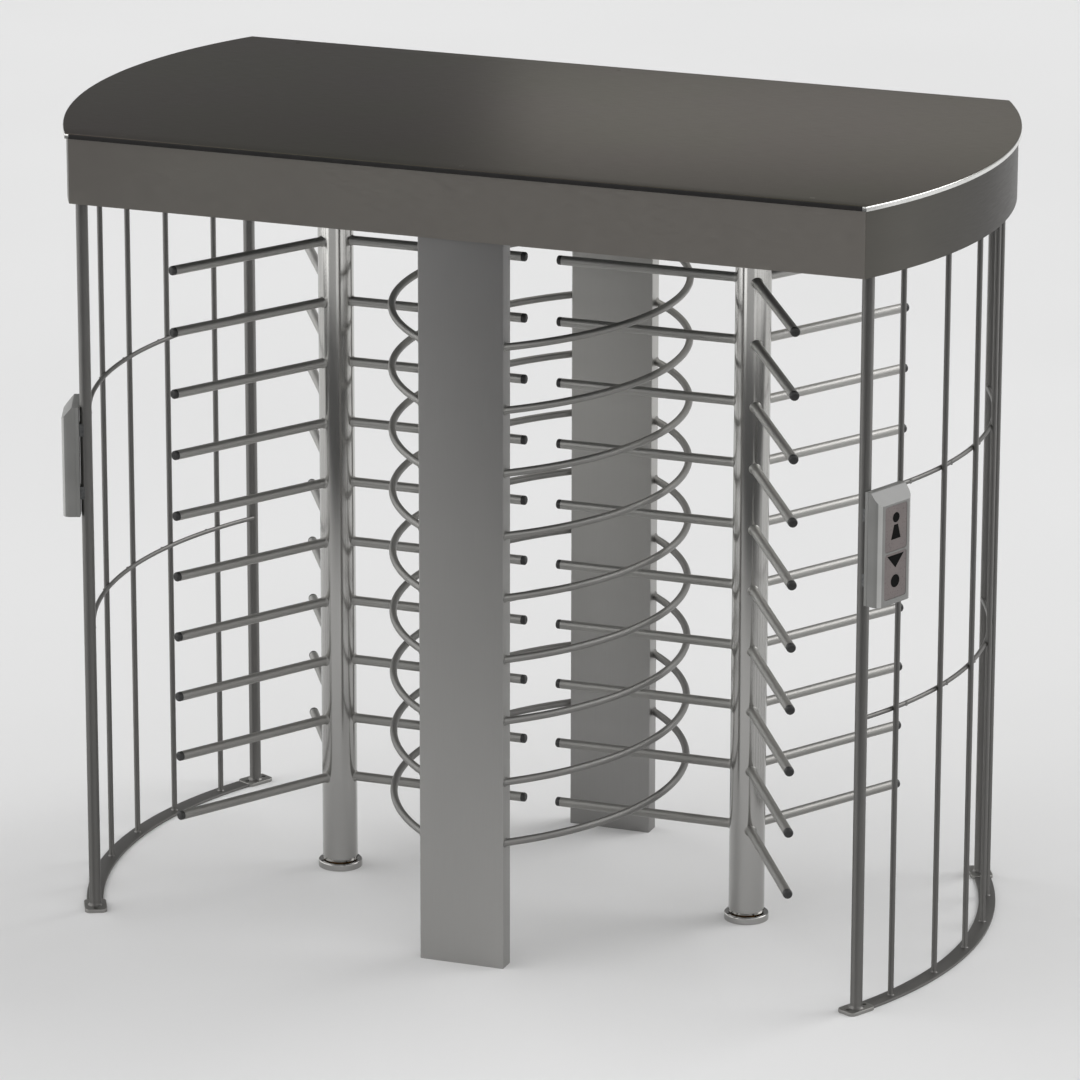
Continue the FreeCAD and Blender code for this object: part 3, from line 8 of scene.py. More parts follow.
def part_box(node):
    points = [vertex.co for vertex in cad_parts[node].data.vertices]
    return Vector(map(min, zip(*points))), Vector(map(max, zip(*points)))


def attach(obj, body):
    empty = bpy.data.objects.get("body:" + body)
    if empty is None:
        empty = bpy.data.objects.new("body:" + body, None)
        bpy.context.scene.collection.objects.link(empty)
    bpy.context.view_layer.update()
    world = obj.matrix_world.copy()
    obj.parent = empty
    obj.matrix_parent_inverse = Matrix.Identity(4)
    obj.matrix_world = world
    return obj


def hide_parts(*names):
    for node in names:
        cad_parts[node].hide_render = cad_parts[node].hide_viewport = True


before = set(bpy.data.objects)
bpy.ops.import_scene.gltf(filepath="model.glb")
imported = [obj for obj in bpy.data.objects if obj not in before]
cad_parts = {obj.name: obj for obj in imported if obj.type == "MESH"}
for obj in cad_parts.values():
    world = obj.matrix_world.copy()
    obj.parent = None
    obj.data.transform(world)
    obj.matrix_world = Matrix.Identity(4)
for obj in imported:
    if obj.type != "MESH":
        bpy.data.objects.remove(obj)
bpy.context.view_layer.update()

# A full height turnstile for two lanes: two rotors of thirty arms each under one canopy, a cage of
# bars at each end, two divider columns with barrier hoops, and a card reader at two corners.
# Metres. X runs along the canopy, -Y is the front, Z is up, and the floor is at zero.
# The right rotor, hoops and cage are the left ones turned half a turn about Z.

FRAME = "turnstile_frame"
STEEL = "satin_stainless_steel"
HIGH = 2.300
SHEET = 0.0025
SIGN = {"left": -1.0, "right": 1.0}
X, Z = 0, 2

# Places nearer than NEAR count as one, and a cutting tool reaches PAST beyond what it cuts.
NEAR = 0.0001
PAST = 0.01


# Colours and materials


def to_linear(hex_colour):
    """The linear colour of an sRGB hex value."""
    channels = [int(hex_colour[place:place + 2], 16) / 255.0 for place in (1, 3, 5)]
    linear = [c / 12.92 if c <= 0.04045 else ((c + 0.055) / 1.055) ** 2.4 for c in channels]
    return (linear[0], linear[1], linear[2], 1.0)


def add_node(tree, kind, settings=None, inputs=None):
    """Adds one shader node, with its settings, its values and what is linked into it."""
    node = tree.nodes.new(kind)
    for name, value in (settings or {}).items():
        setattr(node, name, value)
    for socket, value in (inputs or {}).items():
        if isinstance(value, bpy.types.NodeSocket):
            tree.links.new(value, node.inputs[socket])
        else:
            node.inputs[socket].default_value = value
    return node


def grained(name, dark, light, blotch, grain, depth, rough, light_and_shade_fade=None, **shader_values):
    """A finish with blotches between two tones, and a grain that moves its gloss and its relief.

    Blotch and grain are sizes in metres along X, Y and Z, depth is the relief in metres, rough is
    the least and most roughness, and the fade, painted light and shade, is an axis, where a slow
    change of tone begins and ends along it, and the tone at its end.
    """
    finish = bpy.data.materials.new(name)
    finish.use_nodes = True
    tree = finish.node_tree
    tree.nodes.clear()
    places = add_node(tree, "ShaderNodeTexCoord").outputs["Object"]
    blotch_places = add_node(tree, "ShaderNodeMapping", inputs={
        "Vector": places, "Scale": tuple(1.0 / size for size in blotch)})
    blotches = add_node(tree, "ShaderNodeTexNoise", inputs={
        "Vector": blotch_places.outputs["Vector"], "Scale": 1.0, "Detail": 2.0})
    share = add_node(tree, "ShaderNodeMapRange", inputs={
        "Value": blotches.outputs["Fac"], "From Min": 0.35, "From Max": 0.65})
    tone = add_node(tree, "ShaderNodeMix", {"data_type": "RGBA"}, {
        "Factor": share.outputs["Result"], 6: to_linear(dark), 7: to_linear(light)}).outputs[2]
    # A slow change of tone along one axis: painted light and shade.
    if light_and_shade_fade:
        axis, start, end, end_tone = light_and_shade_fade
        along = add_node(tree, "ShaderNodeSeparateXYZ", inputs={"Vector": places})
        share = add_node(tree, "ShaderNodeMapRange", inputs={
            "Value": along.outputs[axis], "From Min": start, "From Max": end})
        tone = add_node(tree, "ShaderNodeMix", {"data_type": "RGBA"}, {
            "Factor": share.outputs["Result"], 6: tone, 7: to_linear(end_tone)}).outputs[2]
    grain_places = add_node(tree, "ShaderNodeMapping", inputs={
        "Vector": places, "Scale": tuple(1.0 / size for size in grain)})
    grains = add_node(tree, "ShaderNodeTexNoise", inputs={
        "Vector": grain_places.outputs["Vector"], "Scale": 1.0, "Detail": 4.0})
    gloss = add_node(tree, "ShaderNodeMapRange", inputs={
        "Value": grains.outputs["Fac"], "From Min": 0.3, "From Max": 0.7,
        "To Min": rough[0], "To Max": rough[1]})
    relief = add_node(tree, "ShaderNodeBump", inputs={
        "Height": grains.outputs["Fac"], "Strength": 0.35, "Distance": depth})
    values = {socket.replace("_", " "): value for socket, value in shader_values.items()}
    values["Base Color"] = tone
    values["Roughness"] = gloss.outputs["Result"]
    values["Normal"] = relief.outputs["Normal"]
    shader = add_node(tree, "ShaderNodeBsdfPrincipled", inputs=values)
    add_node(tree, "ShaderNodeOutputMaterial", inputs={"Surface": shader.outputs["BSDF"]})
    return finish


# Grinding lines and moulded grain are finer than the camera shows, so they are drawn 1 to 3 mm
# wide.
finishes = {
    # Satin stainless steel tubes and bars, ground with a fine belt that ran along them: long soft
    # stripes. Real belt lines are 0.1 mm apart and drawn 1.5 mm apart, or they would not show.
    # Darker towards the floor and paler up to 1.7 m: painted shade.
    "upright": grained(
        "satin_stainless_upright_tubes", "#656462", "#6d6c6a", (0.35, 0.35, 0.7),
        (0.0015, 0.0015, 0.06), 0.00006, (0.34, 0.42), ("Z", 0.1, 1.7, "#848381"), Metallic=1.0),
    # The rotor columns: the same steel, buffed after grinding, so they gleam more.
    # Their paler tone, paler still towards the top, is painted light.
    "column": grained(
        "buffed_stainless_columns", "#a8a7a5", "#b0afad", (0.35, 0.35, 0.7),
        (0.0015, 0.0015, 0.06), 0.00004, (0.13, 0.19), ("Z", 0.1, 1.5, "#c4c3c0"), Metallic=1.0),
    # Cage rails and hoops: rolled bar, a shade darker as painted shade.
    "rolled": grained(
        "rolled_stainless_flats_and_hoops", "#777674", "#807f7d", (0.25, 0.25, 0.3),
        (0.003, 0.003, 0.0015), 0.00006, (0.44, 0.52), Metallic=1.0),
    # The same steel in level tubes, ground round and round, so that the grain has no long lines.
    # Paler towards the top, from 0.2 m up to 1.5 m: painted light.
    "level": grained(
        "satin_stainless_level_tubes", "#8f8e8b", "#979693", (0.25, 0.25, 0.3),
        (0.003, 0.003, 0.0015), 0.00006, (0.42, 0.50), ("Z", 0.2, 1.5, "#b3b2af"), Metallic=1.0),
    # Barrier hoops: the same tube after bending, a shade darker and paler towards the top: painted
    # shade and light.
    "bent": grained(
        "satin_stainless_bent_tubes", "#7d7c7a", "#868583", (0.25, 0.25, 0.3),
        (0.003, 0.003, 0.0015), 0.00006, (0.42, 0.50), ("Z", 0.2, 1.7, "#9b9a97"), Metallic=1.0),
    # Brushed stainless steel sheet: a coarser upright grain; darker towards the canopy as painted
    # shade.
    "divider": grained(
        "brushed_stainless_divider_sheet", "#a3a2a0", "#a8a7a5", (0.5, 0.5, 0.9),
        (0.002, 0.002, 0.12), 0.00006, (0.40, 0.48), ("Z", 1.1, 2.1, "#939291"), Metallic=1.0),
    # The same sheet in the rear divider, darker low down and paler towards the canopy: painted
    # shade and light.
    "rear_divider": grained(
        "brushed_stainless_rear_divider_painted_shading", "#8d8c8a", "#929190", (0.5, 0.5, 0.9),
        (0.002, 0.002, 0.12), 0.00006, (0.40, 0.48), ("Z", 0.0, 1.3, "#bfbebb"), Metallic=1.0),
    # Dark stainless steel sheet, electro-coloured and satin: a warm dark grey that mirrors softly.
    "lid": grained(
        "coloured_stainless_lid_sheet", "#514b46", "#504d44", (0.5, 0.5, 0.25),
        (0.05, 0.002, 0.002), 0.00004, (0.36, 0.42), Metallic=1.0),
    # The lid's rounded edge round its ends: smooth steel made nearly white, a painted highlight.
    "edging": grained(
        "steel_rim_painted_highlight", "#e6e6e3", "#eeeeeb", (0.1, 0.1, 0.1),
        (0.01, 0.01, 0.002), 0.00002, (0.18, 0.24), Metallic=1.0),
    # The lid's rounded edge along its long sides: matt and nearly black, painted shade.
    "seal": grained(
        "black_rim_painted_shade", "#141312", "#1b1918", (0.05, 0.05, 0.05),
        (0.002, 0.002, 0.002), 0.00005, (0.6, 0.7), IOR=1.4),
    # Coloured stainless steel sheet of the sides, paler than the lid, with level grinding lines.
    # Paler towards +X, from x = -1.1 m to 1.1 m: painted light.
    "fascia": grained(
        "coloured_stainless_fascia_sheet", "#8c8883", "#918e88", (0.5, 0.5, 0.25),
        (0.05, 0.05, 0.002), 0.00004, (0.34, 0.42), ("X", -1.1, 1.1, "#a7a29c"), Metallic=1.0),
    # The same sheet round the ends, a shade darker, and darker still towards the back: painted
    # shade.
    "end_fascia": grained(
        "coloured_stainless_end_sheet_painted_shade", "#64625e", "#696762", (0.5, 0.5, 0.25),
        (0.05, 0.05, 0.002), 0.00004, (0.38, 0.46), ("Y", -0.5, -0.1, "#4c4a47"), Metallic=1.0),
    # Machined and ground steel parts inside the canopy: fine level tool marks and a plain grey.
    "cut_steel": grained(
        "machined_steel", "#8e8f90", "#a3a4a5", (0.05, 0.05, 0.05),
        (0.02, 0.02, 0.002), 0.00005, (0.24, 0.38), Metallic=1.0),
    # Sintered and turned tin bronze, yellow brown.
    "bronze": grained(
        "turned_tin_bronze", "#a07c48", "#b18f58", (0.05, 0.05, 0.05),
        (0.02, 0.02, 0.002), 0.00005, (0.26, 0.4), Metallic=1.0),
    # Hot dip galvanised steel: zinc crystals of 8 mm, each with its own grey and gloss.
    "zinc": grained(
        "galvanised_steel", "#626363", "#797a7a", (0.008, 0.008, 0.008),
        (0.008, 0.008, 0.008), 0.00003, (0.38, 0.55), Metallic=1.0),
    # Anodised aluminium: even pale grey with a fine silky skin.
    "supply_case": grained(
        "anodised_aluminium_case", "#a8a9aa", "#b4b5b6", (0.1, 0.1, 0.1),
        (0.001, 0.001, 0.02), 0.00003, (0.36, 0.46), Metallic=1.0),
    # Sand cast iron under grey paint: a pebbled skin with pebbles of 3 mm.
    "casting": grained(
        "painted_sand_cast_iron", "#4c5053", "#5a5e61", (0.02, 0.02, 0.02),
        (0.003, 0.003, 0.003), 0.0004, (0.5, 0.62), IOR=1.5),
    # Black powder coat on the solenoids' steel cases: orange peel of 2 mm.
    "coil_case": grained(
        "black_powder_coated_steel", "#232427", "#2b2c2f", (0.05, 0.05, 0.05),
        (0.002, 0.002, 0.002), 0.00008, (0.36, 0.44), IOR=1.5),
    # The same coat in blue grey on the dampers' cases.
    "damper_case": grained(
        "blue_grey_powder_coated_steel", "#3d4a57", "#465463", (0.05, 0.05, 0.05),
        (0.002, 0.002, 0.002), 0.00008, (0.36, 0.44), IOR=1.5),
    # Glass cloth laminate under green solder mask, with the cloth's weave of 1 mm in relief.
    "laminate": grained(
        "green_masked_glass_laminate", "#123d24", "#1d5a35", (0.004, 0.004, 0.004),
        (0.001, 0.001, 0.001), 0.00005, (0.3, 0.4), IOR=1.55),
    # Injection moulded polyamide: a matt spark eroded grain.
    "terminals": grained(
        "moulded_green_polyamide", "#3f5f4a", "#476a53", (0.03, 0.03, 0.03),
        (0.001, 0.001, 0.001), 0.00005, (0.46, 0.56), IOR=1.53),
    # The same plastic in black, for the cable gland.
    "gland": grained(
        "moulded_black_polyamide", "#2a2b2d", "#333436", (0.03, 0.03, 0.03),
        (0.001, 0.001, 0.001), 0.00005, (0.46, 0.56), IOR=1.53),
    # Moulded black polyethylene stoppers, with a waxy soft gloss.
    "stopper": grained(
        "moulded_black_polyethylene", "#262626", "#303030", (0.03, 0.03, 0.03),
        (0.001, 0.001, 0.001), 0.00005, (0.4, 0.5), IOR=1.51),
    # Moulded grey ABS reader cases: an even grey with a fine matt grain.
    "reader": grained(
        "moulded_grey_abs_case", "#747472", "#7b7b79", (0.12, 0.12, 0.12),
        (0.0015, 0.0015, 0.0015), 0.00006, (0.28, 0.36), IOR=1.53),
    # The same plastic, paler and smoother, on the middle of the case's rounded front corner: a
    # painted highlight.
    "reader_corner": grained(
        "abs_corner_painted_highlight", "#a9a9a7", "#b2b2b0", (0.12, 0.12, 0.12),
        (0.0015, 0.0015, 0.0015), 0.00003, (0.18, 0.24), IOR=1.53),
    # Cut polycarbonate panes, printed warm grey behind: smoother than the case round them.
    "window": grained(
        "printed_polycarbonate_pane", "#625a59", "#69605e", (0.1, 0.1, 0.06),
        (0.004, 0.004, 0.004), 0.00003, (0.26, 0.34), IOR=1.58),
    # Screen printed ink, nearly black and matt.
    "ink": grained(
        "screen_printed_black_ink", "#060606", "#0a0a0a", (0.03, 0.03, 0.03),
        (0.001, 0.001, 0.001), 0.00002, (0.7, 0.8), IOR=1.2),
}

finish_of_slot = {
    STEEL: "upright",
    "lid_sheet": "lid",
    "fascia_sheet": "fascia",
    "divider_sheet": "divider",
    "cap_plastic": "stopper",
    "galvanised_steel": "zinc",
    "machined_steel": "cut_steel",
    "bearing_bronze": "bronze",
    "cast_housing": "casting",
    "solenoid_case": "coil_case",
    "damper_case": "damper_case",
    "supply_case": "supply_case",
    "board_laminate": "laminate",
    "terminal_plastic": "terminals",
    "gland_plastic": "gland",
    "reader_case": "reader",
    "reader_window": "window",
    "mark_ink": "ink",
}

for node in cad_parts.values():
    for place in node.material_slots:
        place.material = finishes[finish_of_slot[place.material.name.split(".")[0]]]


# Tools for modelling


def deselect_all():
    """Leaves nothing selected, because loading leaves the CAD nodes selected."""
    bpy.ops.object.select_all(action="DESELECT")


def make_active(piece):
    """Selects one piece and nothing else."""
    deselect_all()
    piece.select_set(True)
    bpy.context.view_layer.objects.active = piece


def settled(name):
    """The object just added, named, and with its place, turn and size put into its mesh."""
    piece = bpy.context.object
    piece.name = name
    make_active(piece)
    bpy.ops.object.transform_apply(location=True, rotation=True, scale=True)
    return piece


def new_rod(name, radius, low, high, sides, x=0.0, y=0.0):
    """An upright round bar from low to high."""
    deselect_all()
    bpy.ops.mesh.primitive_cylinder_add(
        vertices=sides, radius=radius, depth=high - low, location=(x, y, (low + high) / 2))
    return settled(name)


def lying_rod(name, radius, low, high, sides, y=0.0, z=0.0):
    """A round bar along X from low to high."""
    deselect_all()
    bpy.ops.mesh.primitive_cylinder_add(
        vertices=sides, radius=radius, depth=high - low, location=((low + high) / 2, y, z),
        rotation=(0.0, math.pi / 2, 0.0))
    return settled(name)


def new_block(name, low, high):
    """A block between its lowest and highest corners."""
    deselect_all()
    low, high = Vector(low), Vector(high)
    bpy.ops.mesh.primitive_cube_add(size=1.0, location=(low + high) / 2, scale=high - low)
    return settled(name)


def open_mesh(piece, kind, action="DESELECT"):
    """Edit mode on one piece, with nothing or all of it picked; kind is VERT, EDGE or FACE."""
    make_active(piece)
    bpy.ops.object.mode_set(mode="EDIT")
    bpy.ops.mesh.select_mode(type=kind)
    bpy.ops.mesh.select_all(action=action)


def close_mesh():
    """Back to object mode."""
    bpy.ops.object.mode_set(mode="OBJECT")


def pick_faces(piece, wanted):
    """Edit mode with the faces picked for which wanted(middle, normal) is true."""
    open_mesh(piece, "FACE")
    mesh = bmesh.from_edit_mesh(piece.data)
    for face in mesh.faces:
        if wanted(face.calc_center_median(), face.normal):
            face.select_set(True)
    bmesh.update_edit_mesh(piece.data)


def inset_faces(piece, wanted, *steps):
    """Insets the wanted faces by each step's width and moves them by its height."""
    pick_faces(piece, wanted)
    for width, height in steps:
        bpy.ops.mesh.inset(thickness=width, depth=height)
    close_mesh()


def drop_faces(piece, wanted):
    """Deletes the wanted faces."""
    pick_faces(piece, wanted)
    bpy.ops.mesh.delete(type="FACE")
    close_mesh()


def is_level(middle, normal):
    """Wants faces that look straight up or down."""
    return abs(normal.z) > 0.99


def facing(axis, way=1.0):
    """Wants faces that look along an axis, or against it where way is -1."""
    return lambda middle, normal: way * normal[axis] > 0.99


def round_edges(piece, wanted, radius, steps):
    """Bevels the edges for which wanted(one end, other end) is true."""
    open_mesh(piece, "EDGE")
    mesh = bmesh.from_edit_mesh(piece.data)
    for edge in mesh.edges:
        if wanted(edge.verts[0].co, edge.verts[1].co):
            edge.select_set(True)
    bmesh.update_edit_mesh(piece.data)
    bpy.ops.mesh.bevel(offset=radius, segments=steps, profile=0.5, affect="EDGES")
    close_mesh()


def beyond(axis, level):
    """Wants edges that lie at a level along an axis, or past it."""
    return lambda a, b: min(a[axis], b[axis]) > level - NEAR


def running(axis, length):
    """Wants edges that run further than a length along an axis."""
    return lambda a, b: abs(a[axis] - b[axis]) > length


def cut_across(piece, point, normal, trim=False):
    """Cuts a mesh by a plane, and with trim drops what lies on the normal's side and caps it."""
    open_mesh(piece, "FACE", "SELECT")
    bpy.ops.mesh.bisect(plane_co=point, plane_no=normal, use_fill=trim, clear_outer=trim)
    close_mesh()


def resize_ring(piece, axis, place, sizes):
    """Resizes the corners at one place along an axis, about their middle."""
    open_mesh(piece, "VERT")
    mesh = bmesh.from_edit_mesh(piece.data)
    ring = [corner for corner in mesh.verts if abs(corner.co[axis] - place) < NEAR]
    for corner in ring:
        corner.select_set(True)
    bmesh.update_edit_mesh(piece.data)
    middle = sum((corner.co for corner in ring), Vector()) / len(ring)
    bpy.ops.transform.resize(value=sizes, center_override=middle)
    close_mesh()


def flare(piece, axis, rings, factors):
    """Widens the rings of a bar at the given places along its axis, as a weld's fillet."""
    for place, factor in zip(rings, factors):
        sizes = [factor] * 3
        sizes[axis] = 1.0
        resize_ring(piece, axis, place, sizes)


def squash(piece, sizes):
    """Resizes a whole piece about the origin."""
    open_mesh(piece, "VERT", "SELECT")
    bpy.ops.transform.resize(value=sizes, center_override=(0.0, 0.0, 0.0))
    close_mesh()


def joined(pieces, name):
    """One piece from several."""
    deselect_all()
    for piece in pieces:
        piece.select_set(True)
    bpy.context.view_layer.objects.active = pieces[0]
    if len(pieces) > 1:
        bpy.ops.object.join()
    pieces[0].name = name
    return pieces[0]


def twin_of(model, name, place):
    """A copy of a model with its own mesh, moved to a place."""
    twin = model.copy()
    twin.name = name
    twin.data = model.data.copy()
    twin.data.transform(place)
    bpy.context.scene.collection.objects.link(twin)
    return twin


def copies(model, name, places):
    """Copies of a model at each of the places, as one piece in the model's stead."""
    twins = [twin_of(model, name, place) for place in places]
    bpy.data.objects.remove(model)
    return joined(twins, name)


def carve(piece, tool):
    """Takes a tool's shape out of a piece, and the tool away."""
    make_active(piece)
    cutter = piece.modifiers.new("carve", "BOOLEAN")
    cutter.operation = "DIFFERENCE"
    cutter.solver = "EXACT"
    cutter.object = tool
    bpy.ops.object.modifier_apply(modifier=cutter.name)
    bpy.data.objects.remove(tool)


def drill(piece, radius, low, high, spots, sides=20):
    """Drills upright holes from low up past high, each at an X and a Y."""
    holes = [new_rod("hole", radius, low, high + PAST, sides, x, y) for x, y in spots]
    carve(piece, joined(holes, "holes"))


def groove_round(piece, slab, core):
    """Cuts a groove round a piece: the slab less the core, each given by its two corners."""
    ring = new_block("ring", *slab)
    carve(ring, new_block("core", *core))
    carve(piece, ring)


def wall_of(piece, thickness):
    """Gives an open shell a wall that grows inwards."""
    make_active(piece)
    wall = piece.modifiers.new("wall", "SOLIDIFY")
    wall.thickness = thickness
    wall.offset = -1.0
    wall.use_even_offset = True
    bpy.ops.object.modifier_apply(modifier=wall.name)


def outward(piece):
    """Merges doubles and turns every face outwards."""
    open_mesh(piece, "FACE", "SELECT")
    bpy.ops.mesh.remove_doubles(threshold=NEAR / 10)
    bpy.ops.mesh.normals_make_consistent(inside=False)
    close_mesh()


def about_z(degrees):
    """A turn about the upright axis through the origin."""
    return Matrix.Rotation(math.radians(degrees), 4, "Z")


def shift(x, y, z):
    """A move."""
    return Matrix.Translation((x, y, z))


def hand_over(piece, finish, slot, *nodes, body=FRAME):
    """Smooths a finished piece, gives it its finish, and puts it on its body for its nodes."""
    outward(piece)
    make_active(piece)
    bpy.ops.object.shade_smooth_by_angle(angle=math.radians(35.0))
    piece.data.materials.clear()
    piece.data.materials.append(finishes[finish])
    piece.data.name = piece.name
    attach(piece, body)
    if nodes:
        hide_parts(*nodes)


# Rotors

ROTOR_X = 0.628
WING_TURNS = {"left": (0.0, 120.0, 240.0), "right": (60.0, 180.0, 300.0)}
LEVEL_PITCH = 0.179
COLUMN_RADIUS = 0.051
COLUMN_LOW = 0.023
COLUMN_HIGH = 2.110
COLUMN_WALL = 0.005
COLUMN_HOLLOW = 0.004
COLUMN_EDGE = 0.0012
ARM_RADIUS = 0.0135
ARM_ROOT = 0.0475
ARM_END = 0.568
ARM_LEVELS = [0.280 + LEVEL_PITCH * level for level in range(10)]
ARM_FILLET = (0.0, 0.0035, 0.0055, 0.0080)
ARM_FLARE = (1.30, 1.20, 1.07)
ARM_HOLLOW = (0.002, -0.006)
STOPPER_END = 0.582
STOPPER_ROUNDING = 0.006
STOPPER_GAP = 0.0007
STOPPER_FACE = ((0.003, 0.0), (0.0008, -0.0006))


def rotor_column(side):
    """The column: a tube with broken edges and an open end."""
    column = new_rod(side + "_column", COLUMN_RADIUS, COLUMN_LOW, COLUMN_HIGH, sides=96)
    round_edges(column, lambda a, b: abs(a.z - b.z) < NEAR, COLUMN_EDGE, steps=2)
    inset_faces(column, is_level, (COLUMN_WALL, -COLUMN_HOLLOW))
    column.data.transform(shift(SIGN[side] * ROTOR_X, 0.0, 0.0))
    return column


def rotor_arm():
    """One arm along X: a tube whose root flares into its weld, with a hollow end."""
    arm = lying_rod("arm", ARM_RADIUS, ARM_ROOT, ARM_END, sides=32)
    rings = [ARM_ROOT + step for step in ARM_FILLET]
    for ring in rings[1:]:
        cut_across(arm, (ring, 0.0, 0.0), (1.0, 0.0, 0.0))
    flare(arm, X, rings, ARM_FLARE)
    inset_faces(arm, facing(X), ARM_HOLLOW)
    return arm


def arm_stopper():
    """One arm's end stopper: a rounded head with a thin shadow line where it meets the tube."""
    stopper = lying_rod("stopper", ARM_RADIUS, ARM_END, STOPPER_END, sides=32)
    round_edges(stopper, beyond(X, STOPPER_END), STOPPER_ROUNDING, steps=5)
    round_edges(stopper, lambda a, b: max(a.x, b.x) < ARM_END + NEAR, STOPPER_GAP, steps=1)
    inset_faces(stopper, facing(X), *STOPPER_FACE)
    return stopper


def rotor(side):
    """Column, arms and stoppers of one rotor."""
    body = side + "_rotor"
    places = [shift(SIGN[side] * ROTOR_X, 0.0, level) @ about_z(turn)
              for turn in WING_TURNS[side] for level in ARM_LEVELS]
    hand_over(rotor_column(side), "column", STEEL, side + "_rotor_column", body=body)
    arms = copies(rotor_arm(), side + "_arms", places)
    hand_over(arms, "level", STEEL, side + "_rotor_arms", body=body)
    stoppers = copies(arm_stopper(), side + "_stoppers", places)
    hand_over(stoppers, "stopper", "cap_plastic", side + "_arm_end_caps", body=body)


# Floor pivots

PIVOT_RADIUS = 0.064
PIVOT_HIGH = 0.020
PIVOT_EDGE = 0.004
PIVOT_GROOVE = ((0.008, 0.0), (0.0008, -0.0008))
PIVOT_HOLE_OFF = 0.0565 * math.sqrt(0.5)
PIVOT_HOLE_RADIUS = 0.004
PIVOT_HOLE_LOW = 0.004


def floor_pivots():
    """Both flanges: a rounded edge, a raised ring under the column and four screw holes."""
    pivot = new_rod("pivot", PIVOT_RADIUS, 0.0, PIVOT_HIGH, sides=96)
    round_edges(pivot, beyond(Z, PIVOT_HIGH), PIVOT_EDGE, steps=5)
    inset_faces(pivot, facing(Z), *PIVOT_GROOVE)
    offs = (-PIVOT_HOLE_OFF, PIVOT_HOLE_OFF)
    spots = [(x, y) for x in offs for y in offs]
    drill(pivot, PIVOT_HOLE_RADIUS, PIVOT_HOLE_LOW, PIVOT_HIGH, spots)
    pivots = copies(pivot, "floor_flanges", [shift(-ROTOR_X, 0, 0), shift(ROTOR_X, 0, 0)])
    hand_over(pivots, "column", STEEL, "floor_pivots")


# Dividers and barrier hoops

DIVIDER_HALF_WIDTH = 0.125
DIVIDER_INNER = 0.579
DIVIDER_OUTER = 0.636
DIVIDER_FOLD = 0.004
CANOPY_LOW = 2.098
HOOP_RADIUS = 0.842
HOOP_CENTRE = 0.450
HOOP_TUBE = 0.0105
HOOP_SIDES = 20
HOOP_SUNK = 0.001
HOOP_OVERRUN = 0.9
HOOP_BEAD = 0.0024
HOOP_BEAD_PROUD = 0.0006
HOOP_LEVELS = [0.3695 + LEVEL_PITCH * level for level in range(9)]


def dividers():
    """Both dividers: folded sheet columns with round folds, open at both ends."""
    half = DIVIDER_HALF_WIDTH
    front = new_block(
        "front_divider", (-half, -DIVIDER_OUTER, 0.0), (half, -DIVIDER_INNER, CANOPY_LOW))
    drop_faces(front, is_level)
    round_edges(front, running(Z, CANOPY_LOW / 2), DIVIDER_FOLD, steps=5)
    wall_of(front, SHEET)
    rear = twin_of(front, "rear_divider", about_z(180.0))
    hand_over(front, "divider", "divider_sheet", "front_divider_column")
    hand_over(rear, "rear_divider", "divider_sheet", "rear_divider_column")


def bent_tube(centre, radius, thickness, middle, half_sweep, steps):
    """A round bar bent to an arc about an upright axis; middle and half sweep are in degrees."""
    deselect_all()
    angle = math.radians(middle - half_sweep)
    place = centre + Vector((radius * math.cos(angle), radius * math.sin(angle), 0.0))
    bpy.ops.mesh.primitive_circle_add(
        vertices=HOOP_SIDES, radius=thickness, fill_type="NGON", location=place,
        rotation=(math.pi / 2, 0.0, angle))
    tube = settled("tube")
    open_mesh(tube, "FACE", "SELECT")
    bpy.ops.mesh.spin(
        steps=steps, angle=-math.radians(2 * half_sweep), center=centre, axis=(0.0, 0.0, 1.0))
    close_mesh()
    outward(tube)
    return tube


def weld_ring(radius, bead):
    """A weld bead round a bar that stands on X = 0 and runs along X, squashed to a fillet."""
    deselect_all()
    bpy.ops.mesh.primitive_torus_add(
        major_radius=radius, minor_radius=bead, major_segments=24, minor_segments=8,
        rotation=(0.0, math.pi / 2, 0.0))
    ring = settled("bead")
    squash(ring, (0.8, 1.0, 1.0))
    return ring


def barrier_hoops(side):
    """Nine hoops from divider to divider, each with a weld bead at both ends."""
    sign = SIGN[side]
    reach = math.acos((HOOP_CENTRE + DIVIDER_HALF_WIDTH - HOOP_SUNK) / HOOP_RADIUS)
    parts = [bent_tube(
        Vector((-sign * HOOP_CENTRE, 0.0, 0.0)), HOOP_RADIUS, HOOP_TUBE,
        0.0 if side == "right" else 180.0, math.degrees(reach) + HOOP_OVERRUN, steps=56)]
    slant = Matrix.Diagonal((1.0, 1.0 / math.sin(reach), 1.0, 1.0))
    for way in (-1.0, 1.0):
        bead = weld_ring(HOOP_TUBE + HOOP_BEAD_PROUD, HOOP_BEAD)
        bead_x = sign * (DIVIDER_HALF_WIDTH + HOOP_BEAD_PROUD)
        bead.data.transform(shift(bead_x, way * HOOP_RADIUS * math.sin(reach), 0.0) @ slant)
        parts.append(bead)
    model = joined(parts, "hoop")
    hoops = copies(model, side + "_hoops", [shift(0.0, 0.0, level) for level in HOOP_LEVELS])
    hand_over(hoops, "bent", STEEL, side + "_barrier_hoops")


# Cage: posts, bars, hoops, rails and foot plates

